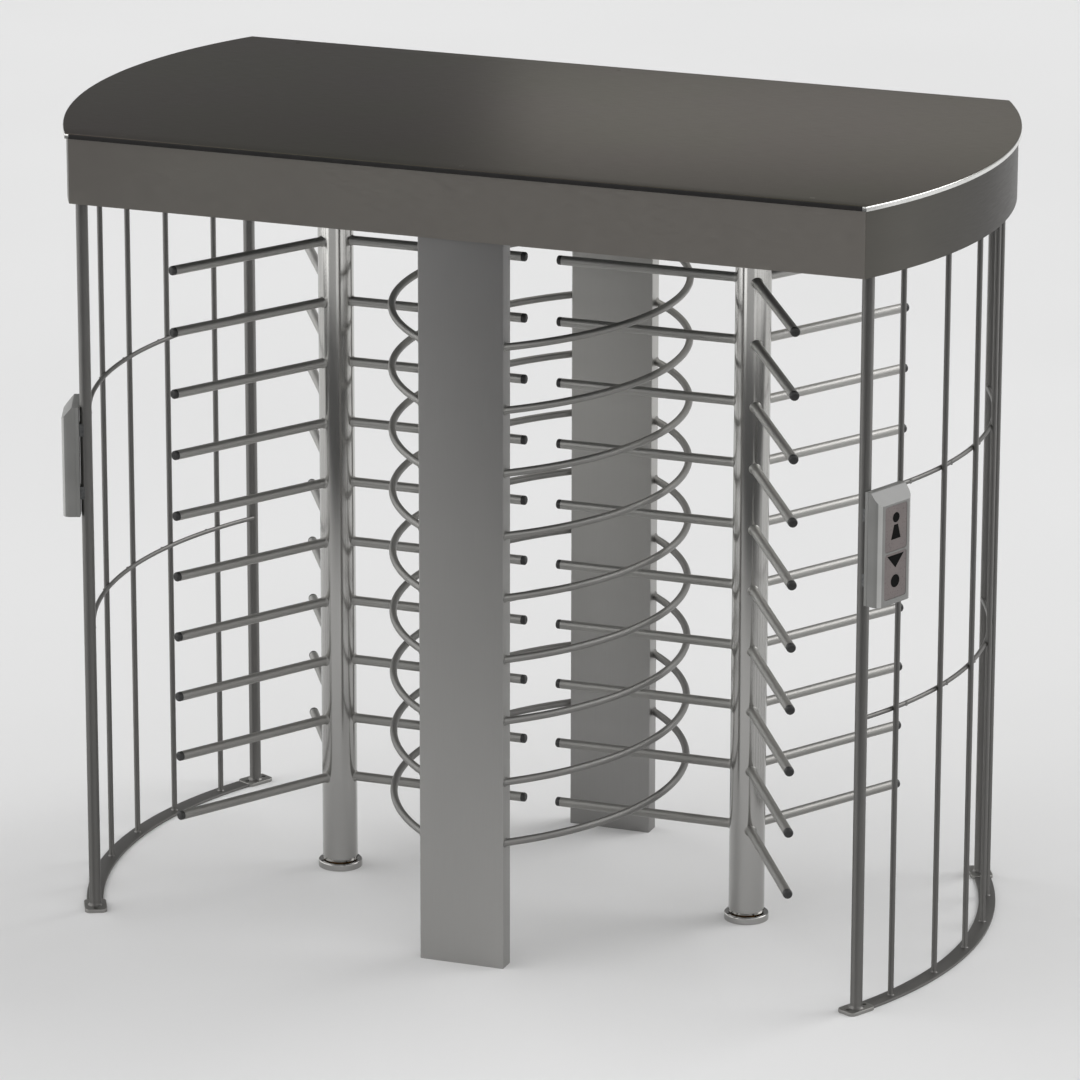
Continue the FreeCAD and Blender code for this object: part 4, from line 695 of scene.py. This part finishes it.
CAGE_RADIUS = 1.290
POST_ANGLE = 27.12
POST_TUBE = 0.017
POST_BEAD = 0.005
BAR_ROD = 0.008
BAR_BEAD = 0.003
BAR_GAP = 0.2195
FIRST_BAR_GAP = 0.1997
FIRST_BAR = POST_ANGLE - math.degrees(FIRST_BAR_GAP / CAGE_RADIUS)
BAR_ANGLES = [FIRST_BAR - math.degrees(BAR_GAP / CAGE_RADIUS) * bar for bar in range(5)]
FILLET_STEPS = (0.0, 0.5, 1.0, 1.6)
FILLET_FLARE = (1.0, 0.55, 0.2)
CAGE_HOOP_RADIUS = 1.2785
CAGE_HOOP_ROD = 0.0065
CAGE_HOOP_TRIM = 0.007
CAGE_HOOP_LEVELS = (0.842, 1.477)
SPOT_SIZES = (0.0032, 0.0055, 0.0030)
SPOT_SUNK = 0.0015
SPOT_Z = 0.0035
RAIL_HALF_WIDTH = 0.024
RAIL_HIGH = 0.008
RAIL_EDGE = 0.0012
RAIL_OVERLAP = 0.0002
FOOT_HALF_LENGTH = 0.047
FOOT_HALF_WIDTH = 0.032
FOOT_HIGH = 0.010
FOOT_CORNER = 0.016
FOOT_EDGE = 0.0015
ANCHOR_HOLE_RADIUS = 0.0065
ANCHOR_HOLE_Y = 0.032
POST_TURNS = (180.0 + POST_ANGLE, 180.0 - POST_ANGLE, POST_ANGLE, -POST_ANGLE)
BAR_TURNS = [180.0 + angle for angle in BAR_ANGLES] + BAR_ANGLES


def on_cage(turns):
    """Places on the cage's circle at the given turns, in degrees."""
    return [about_z(turn) @ shift(CAGE_RADIUS, 0.0, 0.0) for turn in turns]


def welded_upright(radius, low, sides, bead):
    """An upright round bar whose foot flares into its weld."""
    bar = new_rod("bar", radius, low, CANOPY_LOW, sides)
    rings = [low + bead * step for step in FILLET_STEPS]
    for ring in rings[1:]:
        cut_across(bar, (0.0, 0.0, ring), (0.0, 0.0, 1.0))
    flare(bar, Z, rings, [1.0 + share * bead / radius for share in FILLET_FLARE])
    return bar


def cage_uprights():
    """Four corner posts and ten bars."""
    post = welded_upright(POST_TUBE, FOOT_HIGH, 48, POST_BEAD)
    posts = copies(post, "corner_posts", on_cage(POST_TURNS))
    hand_over(posts, "upright", STEEL, "cage_corner_posts")
    bar = welded_upright(BAR_ROD, RAIL_HIGH, 32, BAR_BEAD)
    bars = copies(bar, "cage_bars", on_cage(BAR_TURNS))
    hand_over(bars, "upright", STEEL, "cage_vertical_bars")


def cage_hoops():
    """Two hoops in each cage, with a weld spot over and under each crossing with a bar."""
    half_sweep = POST_ANGLE - math.degrees(CAGE_HOOP_TRIM / CAGE_HOOP_RADIUS)
    hoop = bent_tube(Vector(), CAGE_HOOP_RADIUS, CAGE_HOOP_ROD, 0.0, half_sweep, steps=40)
    deselect_all()
    bpy.ops.mesh.primitive_uv_sphere_add(segments=12, ring_count=8, radius=1.0)
    spot = settled("spot")
    squash(spot, SPOT_SIZES)
    contact = CAGE_HOOP_RADIUS + CAGE_HOOP_ROD - SPOT_SUNK
    spots = copies(spot, "spots", [
        about_z(-angle) @ shift(contact, 0.0, z)
        for angle in BAR_ANGLES for z in (-SPOT_Z, SPOT_Z)])
    hoops = copies(joined([hoop, spots], "hoop"), "cage_bands", [
        about_z(turn) @ shift(0.0, 0.0, level)
        for turn in (0.0, 180.0) for level in CAGE_HOOP_LEVELS])
    hand_over(hoops, "rolled", STEEL, "cage_hoops")


def base_rails():
    """Flat rails on the floor, bent on edge, with broken edges."""
    half_sweep = math.radians(POST_ANGLE) - (FOOT_HALF_LENGTH - RAIL_OVERLAP) / CAGE_RADIUS
    middle = Vector((math.cos(half_sweep), -math.sin(half_sweep), 0.0)) * CAGE_RADIUS
    middle.z = RAIL_HIGH / 2
    deselect_all()
    bpy.ops.mesh.primitive_plane_add(
        size=1.0, location=middle, rotation=(math.pi / 2, 0.0, -half_sweep))
    bpy.context.object.scale = (2 * RAIL_HALF_WIDTH, RAIL_HIGH, 1.0)
    rail = settled("rail")
    open_mesh(rail, "FACE", "SELECT")
    bpy.ops.mesh.bevel(offset=RAIL_EDGE, segments=2, affect="VERTICES")
    bpy.ops.mesh.spin(
        steps=48, angle=-2 * half_sweep, center=(0.0, 0.0, 0.0), axis=(0.0, 0.0, 1.0))
    close_mesh()
    outward(rail)
    rails = copies(rail, "floor_rails", [about_z(0.0), about_z(180.0)])
    hand_over(rails, "rolled", STEEL, "cage_base_rails")


def foot_plates():
    """Plates under the posts: round corners, a broken top edge and two anchor holes."""
    plate = new_block(
        "plate", (-FOOT_HALF_WIDTH, -FOOT_HALF_LENGTH, 0.0),
        (FOOT_HALF_WIDTH, FOOT_HALF_LENGTH, FOOT_HIGH))
    round_edges(plate, running(Z, FOOT_HIGH / 2), FOOT_CORNER, steps=6)
    round_edges(plate, beyond(Z, FOOT_HIGH), FOOT_EDGE, steps=3)
    spots = ((0.0, -ANCHOR_HOLE_Y), (0.0, ANCHOR_HOLE_Y))
    drill(plate, ANCHOR_HOLE_RADIUS, -PAST, FOOT_HIGH, spots, sides=28)
    plates = copies(plate, "foot_plates", on_cage(POST_TURNS))
    hand_over(plates, "level", STEEL, "post_foot_plates")


# Canopy

LID_RADIUS = 1.3377
LID_HALF_DEPTH = 0.662
LID_RIM_LOW = 2.285
LID_EDGE = 0.006
STRIP = 0.0015
HIGHLIGHT_RIM_END = 1.151
LAST_SCREW_X = 0.9995
LID_SCREW_Y = 0.6245
LID_SCREW_RADIUS = 0.0075
LID_SCREW_LOW = HIGH - 0.0035
LID_SCREW_TAPER = 0.55
LID_SCREW_EDGE = 0.0001
SOCKET_SPOT = ((0.0, 0.0),)
LID_SOCKET_RADIUS = 0.0025
LID_SOCKET_LOW = HIGH - 0.002
SCREW_PROUD = 0.0002
LID_HIGH = HIGH - SCREW_PROUD
FASCIA_RADIUS = 1.328
FASCIA_HALF_DEPTH = 0.652
FASCIA_LOW = CANOPY_LOW + 0.0001
HEM_LEVELS = (CANOPY_LOW + 0.0030, CANOPY_LOW + 0.0015)
FASCIA_HIGH = 2.2975
COVER_SCREW_RADIUS = 0.006
COVER_SCREW_DEEP = 0.012
COVER_SCREW_HIGH = 0.0035
COVER_SCREW_DOME = COVER_SCREW_HIGH * 0.7
COVER_SOCKET_RADIUS = 0.0021
COVER_SOCKET_LOW = 0.0012
COVER_SCREW_Z = 2.126
COVER_SCREWS = 6


def canopy_outline(name, radius, half_depth, low, high):
    """A drum with its front and back cut off straight."""
    drum = new_rod(name, radius, low, high, sides=192)
    cut_across(drum, (0.0, half_depth, 0.0), (0.0, 1.0, 0.0), trim=True)
    cut_across(drum, (0.0, -half_depth, 0.0), (0.0, -1.0, 0.0), trim=True)
    outward(drum)
    return drum


def canopy_lid():
    """The lid: a tray turned over, with a rounded edge and a rim that hangs outside the sides."""
    lid = canopy_outline(
        "lid", LID_RADIUS - STRIP, LID_HALF_DEPTH - STRIP, LID_RIM_LOW, LID_HIGH)
    round_edges(lid, beyond(Z, LID_HIGH), STRIP, steps=3)
    pick_faces(lid, facing(Z, -1.0))
    bpy.ops.mesh.inset(thickness=SHEET, depth=0.0)
    bpy.ops.mesh.extrude_region_move(
        TRANSFORM_OT_translate={"value": (0.0, 0.0, HIGH - SHEET - LID_RIM_LOW)})
    close_mesh()
    hand_over(lid, "lid", "lid_sheet", "canopy_lid")


def lid_strip(name, wanted):
    """The strips of the lid's edge for which wanted(middle) is true: a band with a round top."""
    strip = canopy_outline(name, LID_RADIUS, LID_HALF_DEPTH, LID_RIM_LOW, LID_HIGH)
    for end in (-HIGHLIGHT_RIM_END, HIGHLIGHT_RIM_END):
        cut_across(strip, (end, 0.0, 0.0), (1.0, 0.0, 0.0))

    def on_rim(a, b):
        """Wants the top edges, but not the cuts from front to back."""
        from_front_to_back = abs(a.x - b.x) < NEAR and abs(a.y - b.y) > LID_HALF_DEPTH
        return min(a.z, b.z) > LID_HIGH - NEAR and not from_front_to_back

    round_edges(strip, on_rim, LID_EDGE, steps=5)
    drop_faces(strip, lambda middle, normal: is_level(middle, normal) or not wanted(middle))
    wall_of(strip, STRIP)
    return strip


def lid_strips():
    """The lid's edge round its ends and corners, nearly white as a painted highlight, and between
    them nearly black as painted shade.
    """
    edging = lid_strip("lid_rim_painted_highlight", lambda middle: abs(middle.x) > HIGHLIGHT_RIM_END)
    hand_over(edging, "edging", "lid_sheet")
    painted_shade_rims = lid_strip("lid_rims_painted_shade", lambda middle: abs(middle.x) < HIGHLIGHT_RIM_END)
    hand_over(painted_shade_rims, "seal", "lid_sheet")


def lid_screws():
    """Six flat countersunk screws with hexagonal sockets, a hair above the lid."""
    screw = new_rod("screw", LID_SCREW_RADIUS, LID_SCREW_LOW, HIGH, sides=32)
    round_edges(screw, beyond(Z, HIGH), LID_SCREW_EDGE, steps=1)
    flare(screw, Z, (LID_SCREW_LOW,), (LID_SCREW_TAPER,))
    drill(screw, LID_SOCKET_RADIUS, LID_SOCKET_LOW, HIGH, SOCKET_SPOT, sides=6)
    places = [shift(x, y, 0.0) for x in (-LAST_SCREW_X, 0.0, LAST_SCREW_X)
              for y in (-LID_SCREW_Y, LID_SCREW_Y)]
    hand_over(copies(screw, "lid_fixings", places), "lid", "machined_steel", "lid_screws")


def side_sheet(name, wanted):
    """The canopy's sides for which wanted(middle) is true: sheet with two lines cut round its foot.
    """
    sheet = canopy_outline(name, FASCIA_RADIUS, FASCIA_HALF_DEPTH, FASCIA_LOW, FASCIA_HIGH)
    for level in HEM_LEVELS:
        cut_across(sheet, (0.0, 0.0, level), (0.0, 0.0, 1.0))
    drop_faces(sheet, lambda middle, normal: is_level(middle, normal) or not wanted(middle))
    wall_of(sheet, SHEET)
    return sheet


def canopy_sides():
    """Front fascia, rear cover and the two end fascias."""
    straight = FASCIA_HALF_DEPTH - NEAR / 10
    front = side_sheet("front_fascia", lambda middle: middle.y < -straight)
    hand_over(front, "fascia", "fascia_sheet", "canopy_front_fascia")
    rear = side_sheet("rear_cover", lambda middle: middle.y > straight)
    hand_over(rear, "fascia", "fascia_sheet", "canopy_rear_cover")
    ends = side_sheet("end_fascias", lambda middle: abs(middle.y) <= straight)
    hand_over(ends, "end_fascia", "fascia_sheet", "canopy_end_fascias")


def cover_screws():
    """Six domed screws of the rear cover, each with a hexagonal socket."""
    screw = new_rod("screw", COVER_SCREW_RADIUS, -COVER_SCREW_DEEP, COVER_SCREW_HIGH, sides=32)
    round_edges(screw, beyond(Z, COVER_SCREW_HIGH), COVER_SCREW_DOME, steps=4)
    drill(screw, COVER_SOCKET_RADIUS, COVER_SOCKET_LOW, COVER_SCREW_HIGH, SOCKET_SPOT, sides=6)
    lying = Matrix.Rotation(-math.pi / 2, 4, "X")
    pitch = 2 * LAST_SCREW_X / (COVER_SCREWS - 1)
    screws = copies(screw, "cover_screws", [
        shift(-LAST_SCREW_X + pitch * place, FASCIA_HALF_DEPTH, COVER_SCREW_Z) @ lying
        for place in range(COVER_SCREWS)])
    hand_over(screws, "cut_steel", STEEL, "rear_cover_screws")


# Readers

READER_LOW = 1.180
READER_HIGH = 1.500
READER_BACK = 0.019
READER_FRONT = 0.069
READER_NEAR = -0.023
READER_FAR = 0.124
READER_TURN = 6.0
READER_SLOPE_HIGH = 0.036
READER_SLOPE_DEEP = 0.030
READER_ROUNDING = 0.020
READER_EDGE = 0.0015
READER_SEAM = 0.0008
READER_SEAM_AT = READER_BACK + 0.011
RECESS_GAP = 0.0006
WINDOW_HALF_WIDTH = 0.046
WINDOW_HEIGHT = 0.128
WINDOW_LOWS = (1.196, 1.330)
WINDOW_CORNER = 0.008
WINDOW_EDGE = 0.0004
WINDOW_SHEET = 0.002
MARK_HIGH = 0.0006
MARK_EDGE = 0.00008
MARK_HALF_WIDTH = 0.01
PANE_FRONT = READER_FRONT - MARK_HIGH

# Each mark's plate, by foot, top and the half widths there, and its dot, by radius and height.
MARKS = (
    ((1.363, 1.403, 0.020, 0.008), (0.014, 1.423)),
    ((1.282, 1.318, NEAR, 0.035), (0.018, 1.244)),
)

# The part of the case's rounded corner with the painted highlight, in degrees from the front
# towards the side.
HIGHLIGHT_BAND = (14.0, 52.0)


def reader_case(low_y, high_y):
    """A case with round front edges, a sloped top, two recesses and a parting line."""
    case = new_block("case", (READER_BACK, low_y, READER_LOW), (READER_FRONT, high_y, READER_HIGH))
    slope = Vector((READER_SLOPE_HIGH, 0.0, READER_SLOPE_DEEP)).normalized()
    cut_across(case, (READER_FRONT, 0.0, READER_HIGH - READER_SLOPE_HIGH), slope, trim=True)
    outward(case)
    half_high = (READER_HIGH - READER_LOW) / 2
    round_edges(
        case, lambda a, b: beyond(X, READER_FRONT)(a, b) and running(Z, half_high)(a, b),
        READER_ROUNDING, steps=7)
    round_edges(
        case, lambda a, b: max(a.x, b.x) < READER_BACK + NEAR or beyond(Z, READER_HIGH)(a, b),
        READER_EDGE, steps=2)
    for window_low in WINDOW_LOWS:
        carve(case, rounded_pane(
            READER_FRONT - WINDOW_SHEET, READER_FRONT + PAST, (low_y + high_y) / 2, window_low,
            RECESS_GAP))
    groove_round(
        case,
        ((READER_SEAM_AT, low_y - PAST, READER_LOW - PAST),
         (READER_SEAM_AT + READER_SEAM, high_y + PAST, READER_HIGH + PAST)),
        ((READER_BACK, low_y + READER_SEAM, READER_LOW + READER_SEAM),
         (READER_FRONT, high_y - READER_SEAM, READER_HIGH - READER_SEAM)))
    return case


def rounded_pane(back, front, middle_y, low, extra=0.0):
    """A window's pane with round corners, or with extra its recess."""
    half = WINDOW_HALF_WIDTH + extra
    pane = new_block(
        "pane", (back, middle_y - half, low - extra),
        (front, middle_y + half, low + WINDOW_HEIGHT + extra))
    round_edges(pane, running(X, (front - back) / 2), WINDOW_CORNER + extra, steps=6)
    return pane


def mark_plate(middle_y, low, high, low_half, high_half):
    """A printed figure on a window whose width goes evenly from its foot to its top."""
    plate = new_block(
        "mark", (PANE_FRONT, middle_y - MARK_HALF_WIDTH, low),
        (READER_FRONT, middle_y + MARK_HALF_WIDTH, high))
    for level, half in ((low, low_half), (high, high_half)):
        resize_ring(plate, Z, level, (1.0, half / MARK_HALF_WIDTH, 1.0))
    return plate


def reader(side):
    """Case, panes and marks of one reader; the left one is mirrored in width."""
    low_y, high_y = (READER_NEAR, READER_FAR) if side == "right" else (-READER_FAR, -READER_NEAR)
    middle_y = (low_y + high_y) / 2
    case = reader_case(low_y, high_y)
    panes = [rounded_pane(READER_FRONT - WINDOW_SHEET, PANE_FRONT, middle_y, window_low)
             for window_low in WINDOW_LOWS]
    for pane in panes:
        round_edges(pane, beyond(X, PANE_FRONT), WINDOW_EDGE, steps=1)
    marks = []
    for plate, (radius, z) in MARKS:
        marks.append(mark_plate(middle_y, *plate))
        marks.append(lying_rod("dot", radius, PANE_FRONT, READER_FRONT, 40, middle_y, z))
    for mark in marks:
        round_edges(mark, beyond(X, READER_FRONT), MARK_EDGE, steps=1)
    post = -POST_ANGLE if side == "right" else 180.0 + POST_ANGLE
    place = about_z(post) @ shift(CAGE_RADIUS, 0.0, 0.0) @ about_z(SIGN[side] * READER_TURN)
    parts = {"case": case, "panes": joined(panes, "panes"), "marks": joined(marks, "marks")}
    for part in parts.values():
        part.data.transform(place)
    return parts


def paint_corner_highlights(cases):
    """Gives the middle of the cases' rounded front corners a paler, smoother finish: a painted
    highlight.
    """
    cases.data.materials.append(finishes["reader_corner"])
    for face in cases.data.polygons:
        half = math.copysign(1.0, face.center.x)
        turn = math.degrees(math.atan2(face.normal.y, half * face.normal.x))
        off = abs(turn + POST_ANGLE - READER_TURN)
        if abs(face.normal.z) < 0.05 and HIGHLIGHT_BAND[0] < off < HIGHLIGHT_BAND[1]:
            face.material_index = 1


def readers():
    """Both readers, handed over as cases, panes and marks."""
    left = reader("left")
    right = reader("right")
    for part, name, finish, slot, node in (
            ("case", "reader_cases", "reader", "reader_case", "reader_housings"),
            ("panes", "reader_panes", "window", "reader_window", "reader_windows"),
            ("marks", "reader_symbols", "ink", "mark_ink", "reader_marks")):
        both = joined([left[part], right[part]], name)
        hand_over(both, finish, slot, node)
        if part == "case":
            paint_corner_highlights(both)


# Electrical parts on the tray

TRAY_CORNER = 0.008
TRAY_EDGE = 0.0004
TRAY_HOLE_RADIUS = 0.0025
TRAY_HOLE_INSET = 0.010
SUPPLY_FOLD = 0.002
SUPPLY_SLOTS = 14
SUPPLY_SLOT_WIDTH = 0.003
SUPPLY_SLOT_DEEP = 0.0015
SUPPLY_MARGIN = 0.018
SUPPLY_SEAM = 0.0008
SUPPLY_SEAM_HIGH = 0.012
TERMINAL_POLES = 12
TERMINAL_EDGE = 0.0012
TERMINAL_WELL = 0.0026
TERMINAL_WELL_DEEP = 0.005
TERMINAL_ENTRY_HIGH = 0.007
TERMINAL_ENTRY_DEEP = 0.005
TERMINAL_GROOVE = 0.0005
TERMINAL_GROOVE_DEEP = 0.0018


def electronics_tray():
    """The tray: a plate with round corners, broken top edges and four screw holes."""
    low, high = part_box("electronics_tray")
    tray = new_block("tray", low, high)
    round_edges(tray, running(Z, (high.z - low.z) / 2), TRAY_CORNER, steps=5)
    round_edges(tray, beyond(Z, high.z), TRAY_EDGE, steps=1)
    spots = [(x, y) for x in (low.x + TRAY_HOLE_INSET, high.x - TRAY_HOLE_INSET)
             for y in (low.y + TRAY_HOLE_INSET, high.y - TRAY_HOLE_INSET)]
    drill(tray, TRAY_HOLE_RADIUS, low.z - PAST, high.z, spots)
    hand_over(tray, "zinc", "galvanised_steel", "electronics_tray")


def power_supply():
    """The supply's case: round folds, a row of air slots in the top and a seam round the sides."""
    low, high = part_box("power_supply")
    case = new_block("supply", low, high)
    half_high = (high.z - low.z) / 2
    round_edges(
        case, lambda a, b: beyond(Z, high.z)(a, b) or running(Z, half_high)(a, b),
        SUPPLY_FOLD, steps=3)
    pitch = (high.y - low.y - 2 * SUPPLY_MARGIN) / (SUPPLY_SLOTS - 1)
    slots = []
    for slot in range(SUPPLY_SLOTS):
        y = low.y + SUPPLY_MARGIN + pitch * slot
        slots.append(new_block(
            "slot", (low.x + SUPPLY_MARGIN, y - SUPPLY_SLOT_WIDTH / 2, high.z - SUPPLY_SLOT_DEEP),
            (high.x - SUPPLY_MARGIN, y + SUPPLY_SLOT_WIDTH / 2, high.z + PAST)))
    carve(case, joined(slots, "slots"))
    seam_low = low.z + SUPPLY_SEAM_HIGH
    groove_round(
        case,
        ((low.x - PAST, low.y - PAST, seam_low),
         (high.x + PAST, high.y + PAST, seam_low + SUPPLY_SEAM)),
        ((low.x + SUPPLY_SEAM, low.y + SUPPLY_SEAM, low.z - PAST),
         (high.x - SUPPLY_SEAM, high.y - SUPPLY_SEAM, high.z + PAST)))
    hand_over(case, "supply_case", "supply_case", "power_supply")


def terminal_block():
    """Twelve poles: a groove between each two, a screw well on top and a wire hole in front."""
    low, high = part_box("terminal_block")
    block = new_block("terminals", low, high)
    round_edges(block, beyond(Z, high.z), TERMINAL_EDGE, steps=2)
    pitch = (high.x - low.x) / TERMINAL_POLES
    middle_y = (low.y + high.y) / 2
    entry_low = low.z + TERMINAL_ENTRY_HIGH
    tools = []
    for pole in range(TERMINAL_POLES):
        x = low.x + pitch * (pole + 0.5)
        tools.append(new_rod(
            "well", TERMINAL_WELL, high.z - TERMINAL_WELL_DEEP, high.z + PAST, 16, x, middle_y))
        tools.append(new_block(
            "entry", (x - TERMINAL_WELL, low.y - PAST, entry_low),
            (x + TERMINAL_WELL, low.y + TERMINAL_ENTRY_DEEP, entry_low + 2 * TERMINAL_WELL)))
        if pole:
            edge = x - pitch / 2
            tools.append(new_block(
                "groove", (edge - TERMINAL_GROOVE, low.y - PAST, high.z - TERMINAL_GROOVE_DEEP),
                (edge + TERMINAL_GROOVE, high.y + PAST, high.z + PAST)))
    carve(block, joined(tools, "tools"))
    hand_over(block, "terminals", "terminal_plastic", "terminal_block")


# Stage, lights and camera

FLOOR_RADIUS = 60.0
DIM_TONE = "#505050"
DIM_WAY = (0.33, -0.94, 0.0)
DIM_FROM = 0.5
DIM_TO = 5.0


def pale_floor():
    """A wide pale floor with a matt skin."""
    deselect_all()
    bpy.ops.mesh.primitive_circle_add(vertices=96, radius=FLOOR_RADIUS, fill_type="NGON")
    floor = bpy.context.object
    floor.name = "floor"
    finish = grained(
        "matt_white_studio_floor", "#e3e3e3", "#e6e6e6", (3.0, 3.0, 3.0),
        (0.02, 0.02, 0.02), 0.0001, (0.85, 0.95), IOR=1.2)
    floor.data.materials.append(finish)
    dim_in_gleams(finish.node_tree)


def dim_in_gleams(tree):
    """Makes the floor in front of the object dim where metal mirrors it, and only there."""
    shader = tree.nodes["Principled BSDF"]
    pale = shader.inputs["Base Color"].links[0].from_socket
    places = add_node(tree, "ShaderNodeTexCoord").outputs["Object"]
    forwards = add_node(tree, "ShaderNodeVectorMath", {"operation": "DOT_PRODUCT"}, {
        0: places, 1: DIM_WAY})
    far = add_node(tree, "ShaderNodeMapRange", {"interpolation_type": "SMOOTHSTEP"}, {
        "Value": forwards.outputs["Value"], "From Min": DIM_FROM, "From Max": DIM_TO})
    gleam = add_node(tree, "ShaderNodeLightPath").outputs["Is Glossy Ray"]
    share = add_node(tree, "ShaderNodeMath", {"operation": "MULTIPLY"}, {
        0: far.outputs["Result"], 1: gleam})
    tone = add_node(tree, "ShaderNodeMix", {"data_type": "RGBA"}, {
        "Factor": share.outputs["Value"], 6: pale, 7: to_linear(DIM_TONE)})
    tree.links.new(tone.outputs[2], shader.inputs["Base Color"])


# Each sun's direction from the object, its spread in degrees and its strength.
SUNS = {
    "key_light": ((0.60, 0.52, 0.62), 40.0, 1.2),
    "left_fill": ((-0.97, -0.20, 0.12), 110.0, 2.3),
    "right_fill": ((0.92, -0.36, 0.12), 90.0, 0.8),
}
PANEL_PLACE = Vector((0.1, 2.7, 3.25))
PANEL_AIM = Vector((0.6, 0.0, 2.3))
PANEL_LENGTH = 2.4
PANEL_DEPTH = 1.0
PANEL_POWER = 4.8
PANEL_COLOUR = (1.0, 0.96, 0.88)
BACK_WALL = (-0.35, 0.91, 0.22)
WALL_FROM = 0.45
WALL_TO = 0.9
ROOM_STRENGTH = 0.56
WALL_STRENGTH = 0.24


def new_lamp(name, kind, facing):
    """A lamp that shines from the way it faces."""
    lamp = bpy.data.objects.new(name, bpy.data.lights.new(name, kind))
    bpy.context.scene.collection.objects.link(lamp)
    lamp.rotation_euler = facing.to_track_quat("Z", "Y").to_euler()
    return lamp


def soft_suns():
    """Broad even lights from three sides."""
    for name, (towards, spread, strength) in SUNS.items():
        lamp = new_lamp(name, "SUN", Vector(towards))
        lamp.data.angle = math.radians(spread)
        lamp.data.energy = strength


def rear_panel():
    """A soft lamp panel behind and above the object, nearer to its right end."""
    lamp = new_lamp("rear_panel", "AREA", PANEL_PLACE - PANEL_AIM)
    lamp.location = PANEL_PLACE
    lamp.visible_camera = False
    lamp.data.shape = "RECTANGLE"
    lamp.data.size = PANEL_LENGTH
    lamp.data.size_y = PANEL_DEPTH
    lamp.data.energy = PANEL_POWER
    lamp.data.color = PANEL_COLOUR


def pale_room():
    """The light from all round, pale but for a dim wall behind the object."""
    world = bpy.data.worlds.new("pale_room")
    bpy.context.scene.world = world
    world.use_nodes = True
    tree = world.node_tree
    tree.nodes.clear()
    places = add_node(tree, "ShaderNodeTexCoord").outputs["Generated"]
    backwards = add_node(tree, "ShaderNodeVectorMath", {"operation": "DOT_PRODUCT"}, {
        0: places, 1: BACK_WALL})
    share = add_node(tree, "ShaderNodeMapRange", {"interpolation_type": "SMOOTHSTEP"}, {
        "Value": backwards.outputs["Value"], "From Min": WALL_FROM, "From Max": WALL_TO,
        "To Min": ROOM_STRENGTH, "To Max": WALL_STRENGTH})
    glow = add_node(tree, "ShaderNodeBackground", inputs={
        "Color": (1.0, 1.0, 1.0, 1.0), "Strength": share.outputs["Result"]})
    add_node(tree, "ShaderNodeOutputWorld", inputs={"Surface": glow.outputs["Background"]})


CAMERA_AIM = Vector((-0.0051, 0.0, 1.0619))
CAMERA_AZIMUTH = math.radians(20.55)
CAMERA_ELEVATION = math.radians(17.03)
CAMERA_DISTANCE = 18.236
CAMERA_LENS = 213.23
CAMERA_SENSOR = 36.0
CAMERA_ROLL = math.radians(0.1)
CAMERA_CLIP = 300.0


def front_camera():
    """The camera at the photograph's angle, height and distance."""
    camera = bpy.data.cameras.new("front_camera")
    camera.sensor_width = CAMERA_SENSOR
    camera.sensor_height = CAMERA_SENSOR
    camera.lens = CAMERA_LENS
    camera.clip_end = CAMERA_CLIP
    holder = bpy.data.objects.new("front_camera", camera)
    bpy.context.scene.collection.objects.link(holder)
    towards = Vector((
        math.sin(CAMERA_AZIMUTH) * math.cos(CAMERA_ELEVATION),
        -math.cos(CAMERA_AZIMUTH) * math.cos(CAMERA_ELEVATION),
        math.sin(CAMERA_ELEVATION)))
    holder.location = CAMERA_AIM + towards * CAMERA_DISTANCE
    facing = towards.to_track_quat("Z", "Y").to_matrix()
    holder.rotation_euler = (facing @ Matrix.Rotation(CAMERA_ROLL, 3, "Z")).to_euler()
    bpy.context.scene.camera = holder


rotor("left")
rotor("right")
floor_pivots()
dividers()
barrier_hoops("left")
barrier_hoops("right")
cage_uprights()
cage_hoops()
base_rails()
foot_plates()
canopy_lid()
lid_strips()
lid_screws()
canopy_sides()
cover_screws()
readers()
electronics_tray()
power_supply()
terminal_block()
pale_floor()
pale_room()
soft_suns()
rear_panel()
front_camera()
bpy.context.scene.view_settings.view_transform = "Standard"
